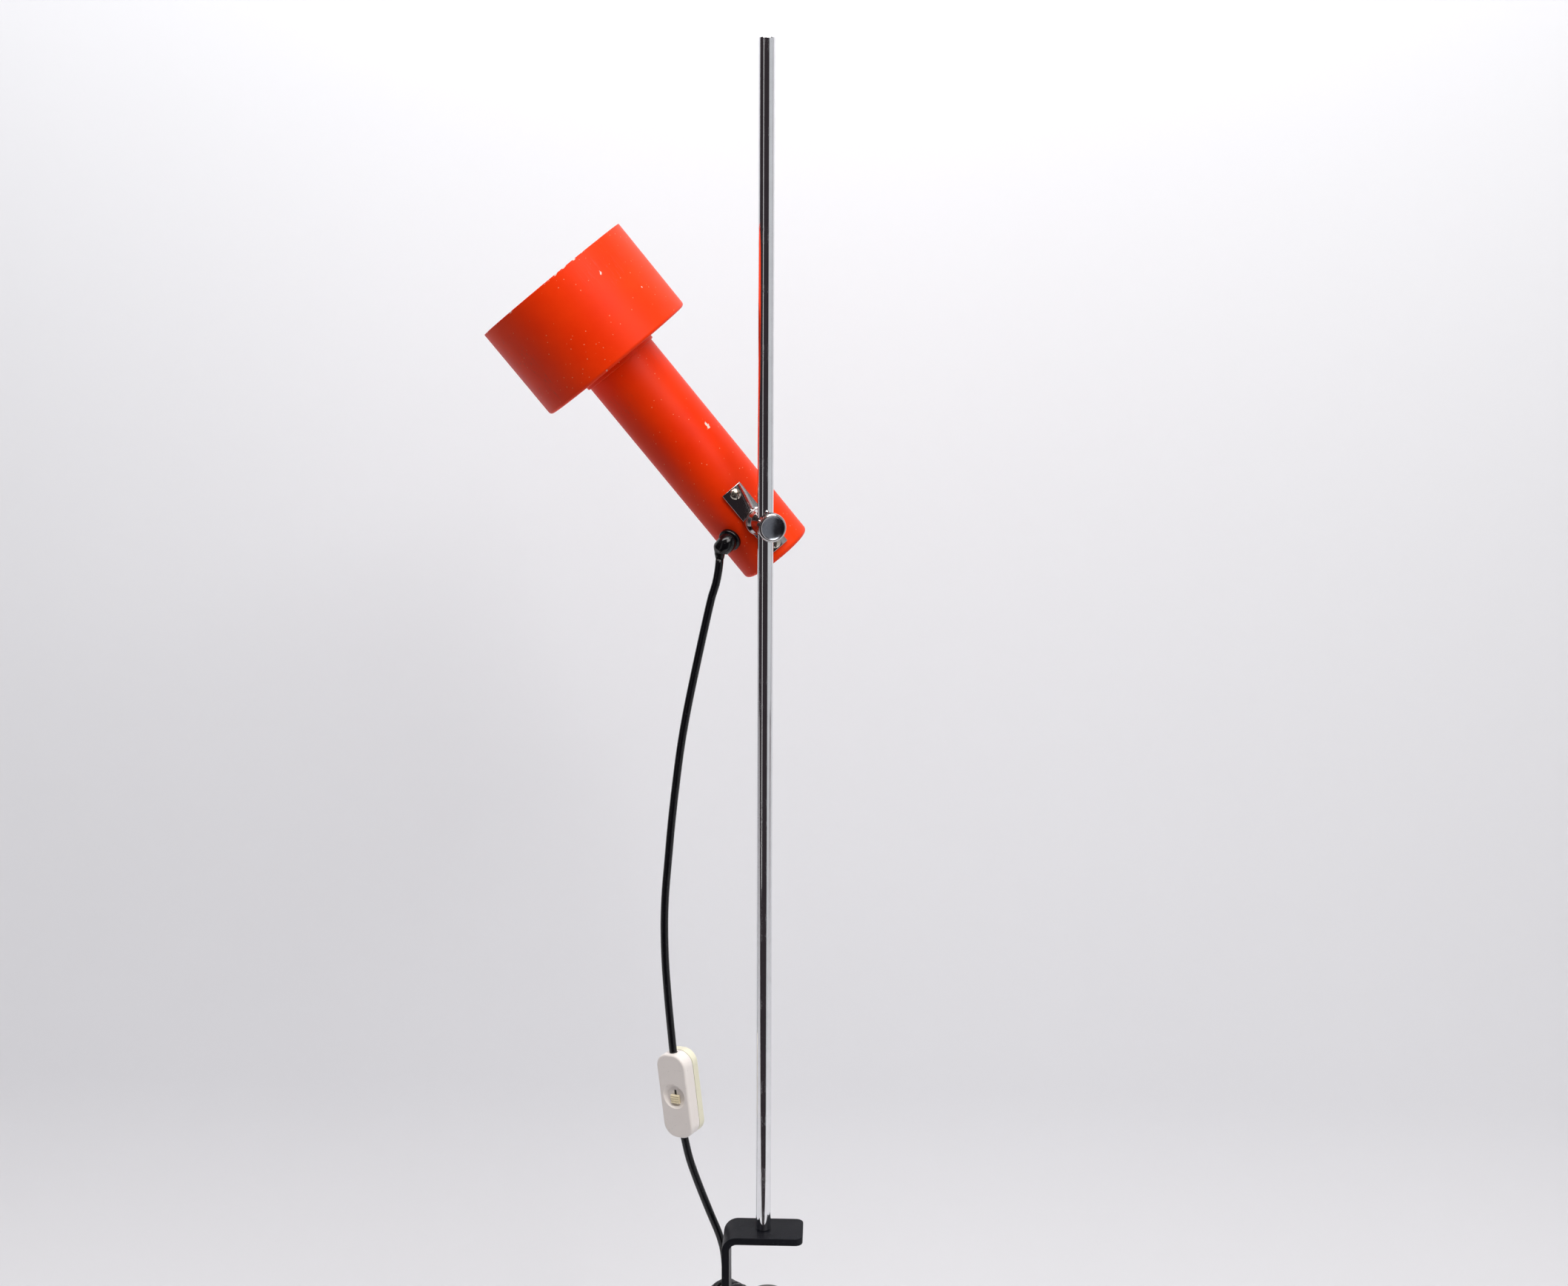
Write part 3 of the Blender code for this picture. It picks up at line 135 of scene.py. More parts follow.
def make_marks():
    """Group of the marks that handling leaves: soft clouds, dust specks and hairline scratches."""
    tree = bpy.data.node_groups.new("handling marks", "ShaderNodeTree")
    face = tree.interface
    face.new_socket("Vector", in_out="INPUT", socket_type="NodeSocketVector")
    for name, value in (("Cloud Scale", 30.0), ("Speck Scale", 400.0), ("Scratch Scale", 20.0)):
        face.new_socket(name, in_out="INPUT", socket_type="NodeSocketFloat").default_value = value
    for name in ("Clouds", "Specks", "Scratches"):
        face.new_socket(name, in_out="OUTPUT", socket_type="NodeSocketFloat")
    given = tree.nodes.new("NodeGroupInput").outputs
    out = tree.nodes.new("NodeGroupOutput")
    at = given["Vector"]
    cloud_inputs = {"Vector": at, "Scale": given["Cloud Scale"], "Detail": 5.0, "Roughness": 0.6}
    clouds = add(tree, "ShaderNodeTexNoise", cloud_inputs).outputs["Fac"]
    cells = add(tree, "ShaderNodeTexVoronoi", {"Vector": at, "Scale": given["Speck Scale"]})
    near = between(tree, cells.outputs["Distance"], 0.10, 0.22, 1.0, 0.0)
    parts = add(tree, "ShaderNodeSeparateColor", {"Color": cells.outputs["Color"]})
    chosen = between(tree, parts.outputs["Red"], 0.90, 0.93)
    specks = add(tree, "ShaderNodeMath", {0: near, 1: chosen}, operation="MULTIPLY").outputs[0]
    hair = None
    for turn in ((0.3, 0.5, 0.2), (1.2, -0.4, 0.9)):
        drawn = add(tree, "ShaderNodeMapping", {"Vector": at, "Rotation": turn, "Scale": (30.0, 1.0, 1.0)})
        inputs = {"Vector": drawn.outputs[0], "Scale": given["Scratch Scale"], "Detail": 2.0}
        lines = add(tree, "ShaderNodeTexNoise", inputs).outputs["Fac"]
        off = add(tree, "ShaderNodeMath", {0: lines, 1: 0.5}, operation="SUBTRACT").outputs[0]
        size = add(tree, "ShaderNodeMath", {0: off}, operation="ABSOLUTE").outputs[0]
        thin = between(tree, size, 0.001, 0.005, 1.0, 0.0)
        hair = thin if hair is None else add(
            tree, "ShaderNodeMath", {0: hair, 1: thin}, operation="MAXIMUM").outputs[0]
    patches = add(tree, "ShaderNodeTexNoise", {"Vector": at, "Scale": given["Scratch Scale"], "Detail": 1.0})
    where = between(tree, patches.outputs["Fac"], 0.56, 0.62)
    scratches = add(tree, "ShaderNodeMath", {0: hair, 1: where}, operation="MULTIPLY").outputs[0]
    for name, value in (("Clouds", clouds), ("Specks", specks), ("Scratches", scratches)):
        tree.links.new(value, out.inputs[name])
    return tree


marks = make_marks()


def marked(tree, at, cloud=30.0, speck=400.0, scratch=20.0):
    """The handling marks group's outputs at a place."""
    made = tree.nodes.new("ShaderNodeGroup")
    made.node_tree = marks
    tree.links.new(at, made.inputs["Vector"])
    for name, value in (("Cloud Scale", cloud), ("Speck Scale", speck), ("Scratch Scale", scratch)):
        made.inputs[name].default_value = value
    return made.outputs


def coated(tree, shader, colour, clouds, rough_low, rough_high):
    """Colour and a gloss that varies with the clouds, into the shader."""
    tree.links.new(colour, shader.inputs["Base Color"])
    gloss = between(tree, clouds, 0.3, 0.7, rough_low, rough_high)
    tree.links.new(gloss, shader.inputs["Roughness"])


def satin_enamel():
    """Satin black enamel: faintly blue where it catches light, dusty, and rubbed a little."""
    made, tree, shader = start_material("satin_black_enamel", Specular_IOR_Level=0.10)
    at = object_place(tree)
    worn = marked(tree, at, 45, 900, 35)
    colour = mixed(tree, worn["Clouds"], (0.004, 0.0045, 0.007), (0.009, 0.0095, 0.013))
    dusty = mixed(tree, worn["Specks"], colour, (0.10, 0.10, 0.11))
    rubbed = mixed(tree, worn["Scratches"], dusty, (0.03, 0.03, 0.034))
    coated(tree, shader, rubbed, worn["Clouds"], 0.34, 0.50)
    peel = add(tree, "ShaderNodeTexNoise", {"Vector": at, "Scale": 700.0, "Detail": 3.0}).outputs["Fac"]
    bumped(tree, shader, peel, 0.00006, 0.5)
    return made


def pulled(outline, depth):
    """A bmesh of an outline in XY, pulled up along Z."""
    bm = bmesh.new()
    face = bm.faces.new([bm.verts.new((x, y, 0)) for x, y in outline])
    new = bmesh.ops.extrude_face_region(bm, geom=[face])["geom"]
    bmesh.ops.translate(bm, verts=[v for v in new if isinstance(v, bmesh.types.BMVert)], vec=(0, 0, depth))
    bmesh.ops.recalc_face_normals(bm, faces=bm.faces)
    return bm


def rounded(bm, edges, radius, segments):
    bmesh.ops.bevel(bm, geom=edges, offset=radius, offset_type="OFFSET", segments=segments, profile=0.5,
                    affect="EDGES", clamp_overlap=True, material=-1)


def edges_where(bm, test):
    """The edges whose two ends both pass a test."""
    return [e for e in bm.edges if all(test(v.co) for v in e.verts)]


def sharp_edges(bm, angle=40):
    """The edges where two faces meet at more than an angle."""
    bmesh.ops.recalc_face_normals(bm, faces=bm.faces)
    bm.normal_update()
    return [e for e in bm.edges if len(e.link_faces) == 2 and e.calc_face_angle() > math.radians(angle)]


def carved(bm, *tools):
    """The bmesh that is left when closed ones are cut out of it."""
    shapes = []
    for shape in (bm, *tools):
        bmesh.ops.recalc_face_normals(shape, faces=shape.faces)
        mesh = bpy.data.meshes.new("carving")
        shape.to_mesh(mesh)
        shape.free()
        shapes.append(bpy.data.objects.new("carving", mesh))
        bpy.context.scene.collection.objects.link(shapes[-1])
    for tool in shapes[1:]:
        step = shapes[0].modifiers.new("cut", "BOOLEAN")
        step.object = tool
    bpy.context.view_layer.update()
    graph = bpy.context.evaluated_depsgraph_get()
    left = bmesh.new()
    left.from_object(shapes[0], graph)
    for shape in shapes:
        bpy.data.objects.remove(shape)
    return left


def finished(name, bm, place, body, finish, stands_for=(), sharp=38):
    """The object of a finished bmesh, moved from its own frame to the lamp's, on its body."""
    bmesh.ops.transform(bm, matrix=place or Matrix(), verts=bm.verts)
    bmesh.ops.recalc_face_normals(bm, faces=bm.faces)
    mesh = bpy.data.meshes.new(name)
    bm.to_mesh(mesh)
    bm.free()
    mesh.shade_smooth()
    mesh.set_sharp_from_angle(angle=math.radians(sharp))
    for one in finish if isinstance(finish, (list, tuple)) else [finish]:
        mesh.materials.append(one)
    piece = bpy.data.objects.new(name, mesh)
    bpy.context.scene.collection.objects.link(piece)
    flats = piece.modifiers.new("even shading", "WEIGHTED_NORMAL")
    flats.keep_sharp = True
    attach(piece, body)
    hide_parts(*([stands_for] if isinstance(stands_for, str) else stands_for))
    return piece


def upright(x, y, z=0.0):
    """The frame at a point with Z up."""
    return Matrix.Translation((x, y, z))


def filleted(corners, steps=4, closed=False):
    """An outline's points, where a corner (x, y, radius) is rounded and a corner (x, y) is not."""
    points = []
    for i, (x, y, *radius) in enumerate(corners):
        here = Vector((x, y))
        if not radius:
            points.append((x, y))
            continue
        before = (Vector(corners[i - 1][:2]) - here).normalized()
        after = (Vector(corners[(i + 1) % len(corners)][:2]) - here).normalized()
        half = before.angle(after) / 2
        centre = here + (before + after).normalized() * radius[0] / math.sin(half)
        first = here + before * radius[0] / math.tan(half) - centre
        last = here + after * radius[0] / math.tan(half) - centre
        sweep = first.angle_signed(last)
        for k in range(steps + 1):
            angle = -sweep * k / steps
            points.append((centre.x + first.x * math.cos(angle) - first.y * math.sin(angle),
                           centre.y + first.x * math.sin(angle) + first.y * math.cos(angle)))
    return points


def spun(section, steps=96):
    """A bmesh of (radius, height) points spun round Z: from axis to axis, or closed on themselves."""
    bm = bmesh.new()
    verts = [bm.verts.new((r, 0, h)) for r, h in section]
    edges = [bm.edges.new(pair) for pair in zip(verts, verts[1:])]
    if section[0][0] > 0:
        edges.append(bm.edges.new((verts[-1], verts[0])))
    bmesh.ops.spin(bm, geom=verts + edges, cent=(0, 0, 0), axis=(0, 0, 1), dvec=(0, 0, 0),
                   angle=2 * math.pi, steps=steps, use_merge=True)
    bmesh.ops.remove_doubles(bm, verts=bm.verts, dist=1e-7)
    bmesh.ops.recalc_face_normals(bm, faces=bm.faces)
    return bm


def cylinder(radius, low, high, place=None, steps=64):
    """A closed cylinder along the Z of a frame, to cut with."""
    bm = spun([(0, high), (radius, high), (radius, low), (0, low)], steps)
    bmesh.ops.transform(bm, matrix=place or Matrix(), verts=bm.verts)
    return bm


bar_low, bar_high = reach("clamp_frame")
bar_wall = bar_high.z
pole_low, pole_high = reach("pole")
pole_x, pole_r = (pole_low.x + pole_high.x) / 2, pole_high.y
screw_low, screw_high = reach("clamp_screw")
screw_x, screw_r = (screw_low.x + screw_high.x) / 2, screw_high.y
jaw_floor = bar_low.z + bar_wall
lower_end = max(p.x for p in corners_in("clamp_frame") if p.z < jaw_floor + bar_wall / 4)
bend_r = 0.010
end_corner_r = 0.005
bar_edge_r = 0.0005
clearance = 0.0003
m6_hole_r = 0.0033

bar_outline = [(bar_high.x, 0), (bar_high.x, bar_high.z), (bar_low.x, bar_high.z), (bar_low.x, bar_low.z),
               (lower_end, bar_low.z), (lower_end, jaw_floor), (bar_low.x + bar_wall, jaw_floor),
               (bar_low.x + bar_wall, 0)]
bar = pulled(bar_outline, 2 * bar_high.y)
for z in (bar_low.z, bar_high.z):
    rounded(bar, edges_where(bar, lambda p: p.x < bar_low.x + 1e-5 and abs(p.y - z) < 1e-5), bend_r, 12)
for z in (jaw_floor, 0):
    inner = edges_where(bar, lambda p: abs(p.x - bar_low.x - bar_wall) < 1e-5 and abs(p.y - z) < 1e-5)
    rounded(bar, inner, bend_r - bar_wall, 12)
for x, low, high in ((bar_high.x, 0, bar_high.z), (lower_end, bar_low.z, jaw_floor)):
    ends = [e for e in edges_where(bar, lambda p: p.x > x - 1e-5 and low - 1e-5 < p.y < high + 1e-5)
            if abs(e.verts[0].co.y - e.verts[1].co.y) > bar_wall / 2]
    rounded(bar, ends, end_corner_r, 8)
rounded(bar, sharp_edges(bar, 60), bar_edge_r, 3)
on_side = Matrix.Translation((0, bar_high.y, 0)) @ Matrix.Rotation(math.pi / 2, 4, "X")
bmesh.ops.transform(bar, matrix=on_side, verts=bar.verts)
sink_r = reach("pole_screw")[1].y + clearance
sink = spun([(0, sink_r), (0.0001, sink_r), (sink_r, 0.0), (sink_r, -0.002), (0, -0.002)], 48)
bmesh.ops.transform(sink, matrix=upright(pole_x, 0), verts=sink.verts)
bar = carved(bar, sink, cylinder(m6_hole_r, 0.0001, 0.02, upright(pole_x, 0), 48),
             cylinder(screw_r + 0.0002, bar_low.z - 0.01, jaw_floor + 0.01, upright(screw_x, 0), 48))
enamel = satin_enamel()
finished("clamp_bar", bar, None, "clamp", enamel, "clamp_frame")

# ---------------------------------------------------------------- clamp screw, grip and pad
# A zinc-plated screw turns in the lower arm. A moulded grip with six finger hollows is pressed on its
# lower end, and a flat pad with a felt liner swivels on its turned tip.


def dull_metal(name, colour, rough, cloud=60.0, tarnish=None):
    """Plated or bare metal that isn't polished: clouded, with fine scratches."""
    made, tree, shader = start_material(name, Metallic=1.0)
    at = object_place(tree)
    worn = marked(tree, at, cloud, 1200, 60)
    darker = tuple(0.72 * c for c in colour)
    base = mixed(tree, between(tree, worn["Clouds"], 0.35, 0.65), tarnish or darker, colour)
    colour = mixed(tree, worn["Scratches"], base, tuple(min(1, 1.25 * c) for c in colour))
    coated(tree, shader, colour, worn["Clouds"], rough + 0.10, rough - 0.06)
    bumped(tree, shader, worn["Scratches"], 0.00002, 0.6)
    return made


def black_moulding(name, rough=0.22, grain=900.0):
    """Glossy black plastic: soft clouds in its gloss, faint mould grain, a little dust."""
    made, tree, shader = start_material(name, Specular_IOR_Level=0.36)
    at = object_place(tree)
    worn = marked(tree, at, 80, 1500, 60)
    base = mixed(tree, worn["Clouds"], (0.002, 0.002, 0.0025), (0.005, 0.005, 0.006))
    dusty = mixed(tree, worn["Specks"], base, (0.16, 0.16, 0.16))
    coated(tree, shader, dusty, worn["Clouds"], rough - 0.05, rough + 0.08)
    height = add(tree, "ShaderNodeTexNoise", {"Vector": at, "Scale": grain, "Detail": 2.0}).outputs["Fac"]
    bumped(tree, shader, height, 0.00003, 0.4)
    return made


def pressed_felt():
    """Grey felt: short matted fibres and colour flecks."""
    made, tree, shader = start_material("grey_felt", Roughness=0.95, Sheen_Weight=0.35)
    at = object_place(tree)
    fibres = add(tree, "ShaderNodeTexNoise", {"Vector": at, "Scale": 1800.0, "Detail": 4.0}).outputs["Fac"]
    flecks = add(tree, "ShaderNodeTexVoronoi", {"Vector": at, "Scale": 1500.0}).outputs["Distance"]
    base = mixed(tree, fibres, (0.09, 0.09, 0.085), (0.22, 0.22, 0.21))
    tree.links.new(mixed(tree, between(tree, flecks, 0.0, 0.25, 1, 0), base, (0.30, 0.29, 0.27)),
                   shader.inputs["Base Color"])
    bumped(tree, shader, fibres, 0.0003, 0.9)
    return made


def thread(radius, core, pitch, low, high, steps=28):
    """A closed screw thread's ridge, wound round Z from low to high on a core."""
    bm = bmesh.new()
    ridge = [(core - 0.0002, 0.0), (radius, 0.42 * pitch), (radius, 0.58 * pitch), (core - 0.0002, pitch)]
    verts = [bm.verts.new((r, 0, low + h)) for r, h in ridge]
    first = bm.faces.new(verts)
    turns = int((high - low) / pitch) - 1
    count = steps * turns
    made = bmesh.ops.spin(bm, geom=[first, *verts, *first.edges], cent=(0, 0, 0), axis=(0, 0, 1),
                          dvec=(0, 0, pitch / steps), angle=2 * math.pi * turns, steps=count)
    assert made["geom_last"]
    return bm


def level_edges(bm):
    """The sharp edges that lie level."""
    return [e for e in sharp_edges(bm, 60) if abs(e.verts[0].co.z - e.verts[1].co.z) < 1e-6]


def merged(*shapes):
    """Several bmeshes as one."""
    whole = bmesh.new()
    for shape in shapes:
        mesh = bpy.data.meshes.new("merging")
        shape.to_mesh(mesh)
        shape.free()
        whole.from_mesh(mesh)
        bpy.data.meshes.remove(mesh)
    return whole


zinc = dull_metal("zinc_plate", (0.62, 0.63, 0.66), 0.30)
plastic = black_moulding("black_plastic")
felt = pressed_felt()
pad_low, pad_high = reach("clamp_pad")
pad_r = pad_high.y
liner_low, liner_high = reach("clamp_pad_liner")
tip_r = 0.0032
tip_l = 0.0042
core_r = screw_r - 0.00065
on_screw = upright(screw_x, 0)

shank = spun([(0, screw_high.z), (tip_r - 0.0003, screw_high.z), (tip_r, screw_high.z - 0.0003),
              (tip_r, screw_high.z - tip_l), (core_r, screw_high.z - tip_l), (core_r, screw_low.z),
              (0, screw_low.z)], 48)
screw = merged(shank, thread(screw_r - 0.00005, core_r, 0.00125, screw_low.z + 0.001, screw_high.z - tip_l))
finished("clamp_screw_threaded", screw, on_screw, "screw", zinc, "clamp_screw")

pad_wall = pad_high.z - pad_low.z
pad = spun(filleted([(tip_r + clearance, pad_low.z), (0.0062, pad_low.z, 0.0004),
                     (0.0075, pad_low.z + 0.45 * pad_wall, 0.001),
                     (pad_r, pad_low.z + 0.5 * pad_wall, 0.0006), (pad_r, pad_high.z, 0.0006),
                     (0.0002, pad_high.z), (0.0002, pad_low.z + 0.0038),
                     (tip_r + clearance, pad_low.z + 0.0038)]), 96)
finished("clamp_pad_swivel", pad, on_screw, "pad", enamel, "clamp_pad")
liner = spun(filleted([(0, liner_high.z), (liner_high.y, liner_high.z, 0.0004),
                       (liner_high.y, liner_low.z, 0.0003), (0, liner_low.z)]), 96)
finished("clamp_pad_felt", liner, on_screw, "pad", felt, "clamp_pad_liner")

grip_low, grip_high = reach("clamp_grip")
grip_r = max(p.xy.length for p in corners_in("clamp_grip", on_screw))
grip_lobes = 6
grip_hollow = 0.0017
grip = bmesh.new()
bmesh.ops.create_circle(grip, cap_ends=True, segments=144, radius=grip_r)
for v in grip.verts:
    angle = math.atan2(v.co.y, v.co.x)
    dip = max(0.0, math.cos(grip_lobes * angle)) ** 1.5
    v.co *= 1 - grip_hollow / grip_r * dip
new = bmesh.ops.extrude_face_region(grip, geom=grip.faces[:])["geom"]
bmesh.ops.translate(grip, verts=[v for v in new if isinstance(v, bmesh.types.BMVert)],
                    vec=(0, 0, grip_high.z - grip_low.z))
bmesh.ops.translate(grip, verts=grip.verts, vec=(0, 0, grip_low.z))
rounded(grip, level_edges(grip), 0.0018, 5)
for level, inset, depth in ((grip_low.z, 0.0035, 0.0008), (grip_high.z, 0.0040, -0.0012)):
    ends = [f for f in grip.faces if abs(f.normal.z) > 0.99 and abs(f.calc_center_median().z - level) < 1e-5]
    bmesh.ops.inset_region(grip, faces=ends, thickness=inset, depth=0.0)
    bmesh.ops.translate(grip, verts=list({v for f in ends for v in f.verts}), vec=(0, 0, depth))
grip = carved(grip, cylinder(screw_r + 0.0002, screw_low.z - 0.0003, grip_high.z + 0.01))
finished("clamp_grip_lobed", grip, on_screw, "screw", plastic, "clamp_grip")

# ---------------------------------------------------------------- rod
# Ground steel rod, chromed bright, with lightly rounded ends and a tapped hole in its foot
# that takes a countersunk socket screw from under the clamp's arm.


def bright_chrome(name, rough=0.045, tint=(0.83, 0.835, 0.85)):
    """Mirror chrome: faint clouds and hairlines in the polish, and specks of dust."""
    made, tree, shader = start_material(name, Metallic=1.0)
    at = object_place(tree)
    worn = marked(tree, at, 90, 1600, 70)
    base = mixed(tree, between(tree, worn["Clouds"], 0.35, 0.7), tuple(0.93 * c for c in tint), tint)
    tree.links.new(mixed(tree, worn["Specks"], base, (0.30, 0.27, 0.24)), shader.inputs["Base Color"])
    haze = between(tree, worn["Clouds"], 0.4, 0.75, rough, rough + 0.05)
    lines = between(tree, worn["Scratches"], 0.0, 1.0, 0.0, 0.12)
    tree.links.new(add(tree, "ShaderNodeMath", {0: haze, 1: lines}, operation="ADD").outputs[0],
                   shader.inputs["Roughness"])
    bumped(tree, shader, worn["Scratches"], 0.000012, 0.5)
    return made


chrome = bright_chrome("bright_chrome")
pole_end_r = 0.0009
bore_r, bore_l = m6_hole_r, 0.016
rod = spun(filleted([(0, pole_high.z), (pole_r, pole_high.z, pole_end_r),
                     (pole_r, pole_low.z, pole_end_r / 2),
                     (bore_r, pole_low.z), (bore_r, pole_low.z + bore_l), (0, pole_low.z + bore_l)], 5), 128)
finished("rod_chromed", rod, upright(pole_x, 0), "pole", chrome, "pole")

# ---------------------------------------------------------------- stud, its seats and the lock knob
# A turned stud slides on the rod through its cross bore. Its foot bears on an angled seat ring, and its pin
# carries the head. A knurled knob on its front end presses a brass shoe on the rod.

smoky_chrome = bright_chrome("smoky_chrome", 0.10, (0.50, 0.48, 0.48))
pivot = Vector(joints["head_tilt"]["pos_m"])
to_front = Vector(joints["head_tilt"]["axis"]).normalized()


def facing(origin, z, near_y):
    """The frame at a point whose Z is given and whose Y is as near as can be to another direction."""
    x = near_y.cross(z).normalized()
    turn = Matrix((x, z.cross(x), z)).transposed().to_4x4()
    return Matrix.Translation(origin) @ turn


stud_place = facing(pivot, -to_front, Vector((0, 0, 1)))
stud_low, stud_high = reach("tilt_stud", stud_place)
seat_low, seat_high = reach("stud_seat", stud_place)
knob_low, knob_high = reach("lock_knob", stud_place)
foot_end = seat_low.z - clearance
stud_r, foot_r, pin_r = 0.0070, 0.0086, 0.0040
stud = spun(filleted([(0, stud_high.z), (pin_r, stud_high.z, 0.0004), (pin_r, foot_end),
                      (foot_r, foot_end, 0.0004),
                      (foot_r - 0.0002, foot_end - 0.0012, 0.0006), (stud_r, foot_end - 0.0047, 0.0022),
                      (stud_r, stud_low.z, 0.0004), (0, stud_low.z)], 5), 112)
up = upright(pivot.x, pivot.y, pivot.z)
stud = carved(stud, cylinder(pole_r + 0.0002, -0.03, 0.03, stud_place.inverted() @ up, 96),
              cylinder(m6_hole_r, stud_low.z - 0.004, 0.0, None, 48))
finished("stud_cross_bored", stud, stud_place, "carriage", smoky_chrome, "tilt_stud")


def knurled(bm, low, high, teeth, depth):
    """Presses a straight knurl into the side of a turned shape, between two heights."""
    for v in bm.verts:
        if low < v.co.z < high and v.co.xy.length > 0.0088:
            angle = math.atan2(v.co.y, v.co.x)
            v.co.xy *= 1 - depth / v.co.xy.length * (0.5 + 0.5 * math.cos(teeth * angle))


def turned_face():
    """Turned face of the knob, plated: fine rings round its middle and a haze."""
    made, tree, shader = start_material("knob_face_chrome", Metallic=1.0)
    at = object_place(tree, stud_place)
    worn = marked(tree, at, 160, 1500, 120)
    rings = add(tree, "ShaderNodeTexWave", {"Vector": at, "Scale": 900.0, "Distortion": 0.4},
                wave_type="RINGS", rings_direction="Z").outputs["Fac"]
    base = mixed(tree, worn["Clouds"], (0.13, 0.14, 0.16), (0.23, 0.24, 0.27))
    coated(tree, shader, mixed(tree, worn["Specks"], base, (0.75, 0.75, 0.75)), worn["Clouds"], 0.16, 0.30)
    bumped(tree, shader, rings, 0.000008, 0.5)
    return made


knob_r = max(p.xy.length for p in corners_in("lock_knob", stud_place))
front, back = knob_low.z, knob_high.z
band = [(knob_r, front + 0.0012 + (back - front - 0.0024) * i / 3) for i in range(4)]
knob_section = [(0, front + 0.0012), (0.0035, front + 0.00105), (0.0062, front + 0.0006),
                (0.0069, front + 0.00035), (0.0073, front + 0.0001), (0.0077, front),
                (0.0082, front + 0.00008), (0.0086, front + 0.0004), (0.0087, front + 0.0007),
                *band, (0.0087, back - 0.0007), (0.0084, back), (0, back)]
knob = spun(knob_section, 264)
knurled(knob, front + 0.001, back - 0.001, 66, 0.00022)
knob = carved(knob, cylinder(m6_hole_r, back - 0.0042, back + 0.004, None, 48))
for f in knob.faces:
    middle = f.calc_center_median()
    f.material_index = int(middle.xy.length < 0.0071 and middle.z < front + 0.002)
finished("knob_knurled", knob, stud_place, "knob", [smoky_chrome, turned_face()], "lock_knob", 30)

# ---------------------------------------------------------------- frame of the lamp head
# The can, the shade, the bulb and all between them are turned about one line, the can's axis.
# It runs from the closed end to the shade's mouth, and leans away from the rod.


def centre_of(node):
    """The mean of a CAD node's corners, each counted once: it lies on a turned piece's axis."""
    points = {tuple(round(c, 6) for c in v.co) for v in frame["nodes"][node].data.vertices}
    return sum((Vector(p) for p in points), Vector()) / len(points)


can_axis = (centre_of("bulb_glass") - centre_of("bulb_tip")).normalized()
closed_end = min(can_axis.dot(v.co - pivot) for v in frame["nodes"]["lamp_can"].data.vertices)
on_axis = centre_of("bulb_tip")
can_origin = on_axis + can_axis * (closed_end - can_axis.dot(on_axis - pivot))
outward = centre_of("saddle_plate") - can_origin
neck = facing(can_origin, can_axis, -outward)
shade_low, shade_high = reach("shade", neck)
can_high = reach("lamp_can", neck)[1]
can_r = max(p.x for p in corners_in("lamp_can", neck) if p.z < shade_low.z)
can_wall = 0.001

# ---------------------------------------------------------------- painted can and collar
# Spun aluminium can, closed at its rear with a rounded edge, and a thin collar where the shade sits on it.
# Both are stove-enamelled a glossy orange-red, which has chipped in a few places down to the metal.


def make_chip():
    """Group of one chip in the paint: an uneven spot round a centre, stretched by the size of each side."""
    tree = bpy.data.node_groups.new("paint chip", "ShaderNodeTree")
    face = tree.interface
    for name in ("Vector", "Centre", "Stretch"):
        face.new_socket(name, in_out="INPUT", socket_type="NodeSocketVector")
    face.new_socket("Size", in_out="INPUT", socket_type="NodeSocketFloat")
    face.new_socket("Mask", in_out="OUTPUT", socket_type="NodeSocketFloat")
    given = tree.nodes.new("NodeGroupInput").outputs
    out = tree.nodes.new("NodeGroupOutput")
    torn = add(tree, "ShaderNodeTexNoise", {"Vector": given["Vector"], "Scale": 620.0, "Detail": 4.0})
    pulled_by = {0: torn.outputs["Color"], 1: (0.5, 0.5, 0.5)}
    uneven = add(tree, "ShaderNodeVectorMath", pulled_by, operation="SUBTRACT").outputs[0]
    moved = add(tree, "ShaderNodeVectorMath", {0: uneven, 1: (0.0032, 0.0032, 0.0032), 2: given["Vector"]},
                operation="MULTIPLY_ADD").outputs[0]
    from_centre = {0: moved, 1: given["Centre"]}
    offset = add(tree, "ShaderNodeVectorMath", from_centre, operation="SUBTRACT").outputs[0]
    stretched = {0: offset, 1: given["Stretch"]}
    shaped = add(tree, "ShaderNodeVectorMath", stretched, operation="MULTIPLY").outputs[0]
    far = add(tree, "ShaderNodeVectorMath", {0: shaped}, operation="LENGTH").outputs["Value"]
    share = add(tree, "ShaderNodeMath", {0: far, 1: given["Size"]}, operation="DIVIDE").outputs[0]
    tree.links.new(between(tree, share, 0.85, 1.0, 1.0, 0.0), out.inputs["Mask"])
    return tree


chip_group = make_chip()


def highest(tree, masks):
    """The greatest of several masks."""
    found = masks[0]
    for mask in masks[1:]:
        found = add(tree, "ShaderNodeMath", {0: found, 1: mask}, operation="MAXIMUM").outputs[0]
    return found


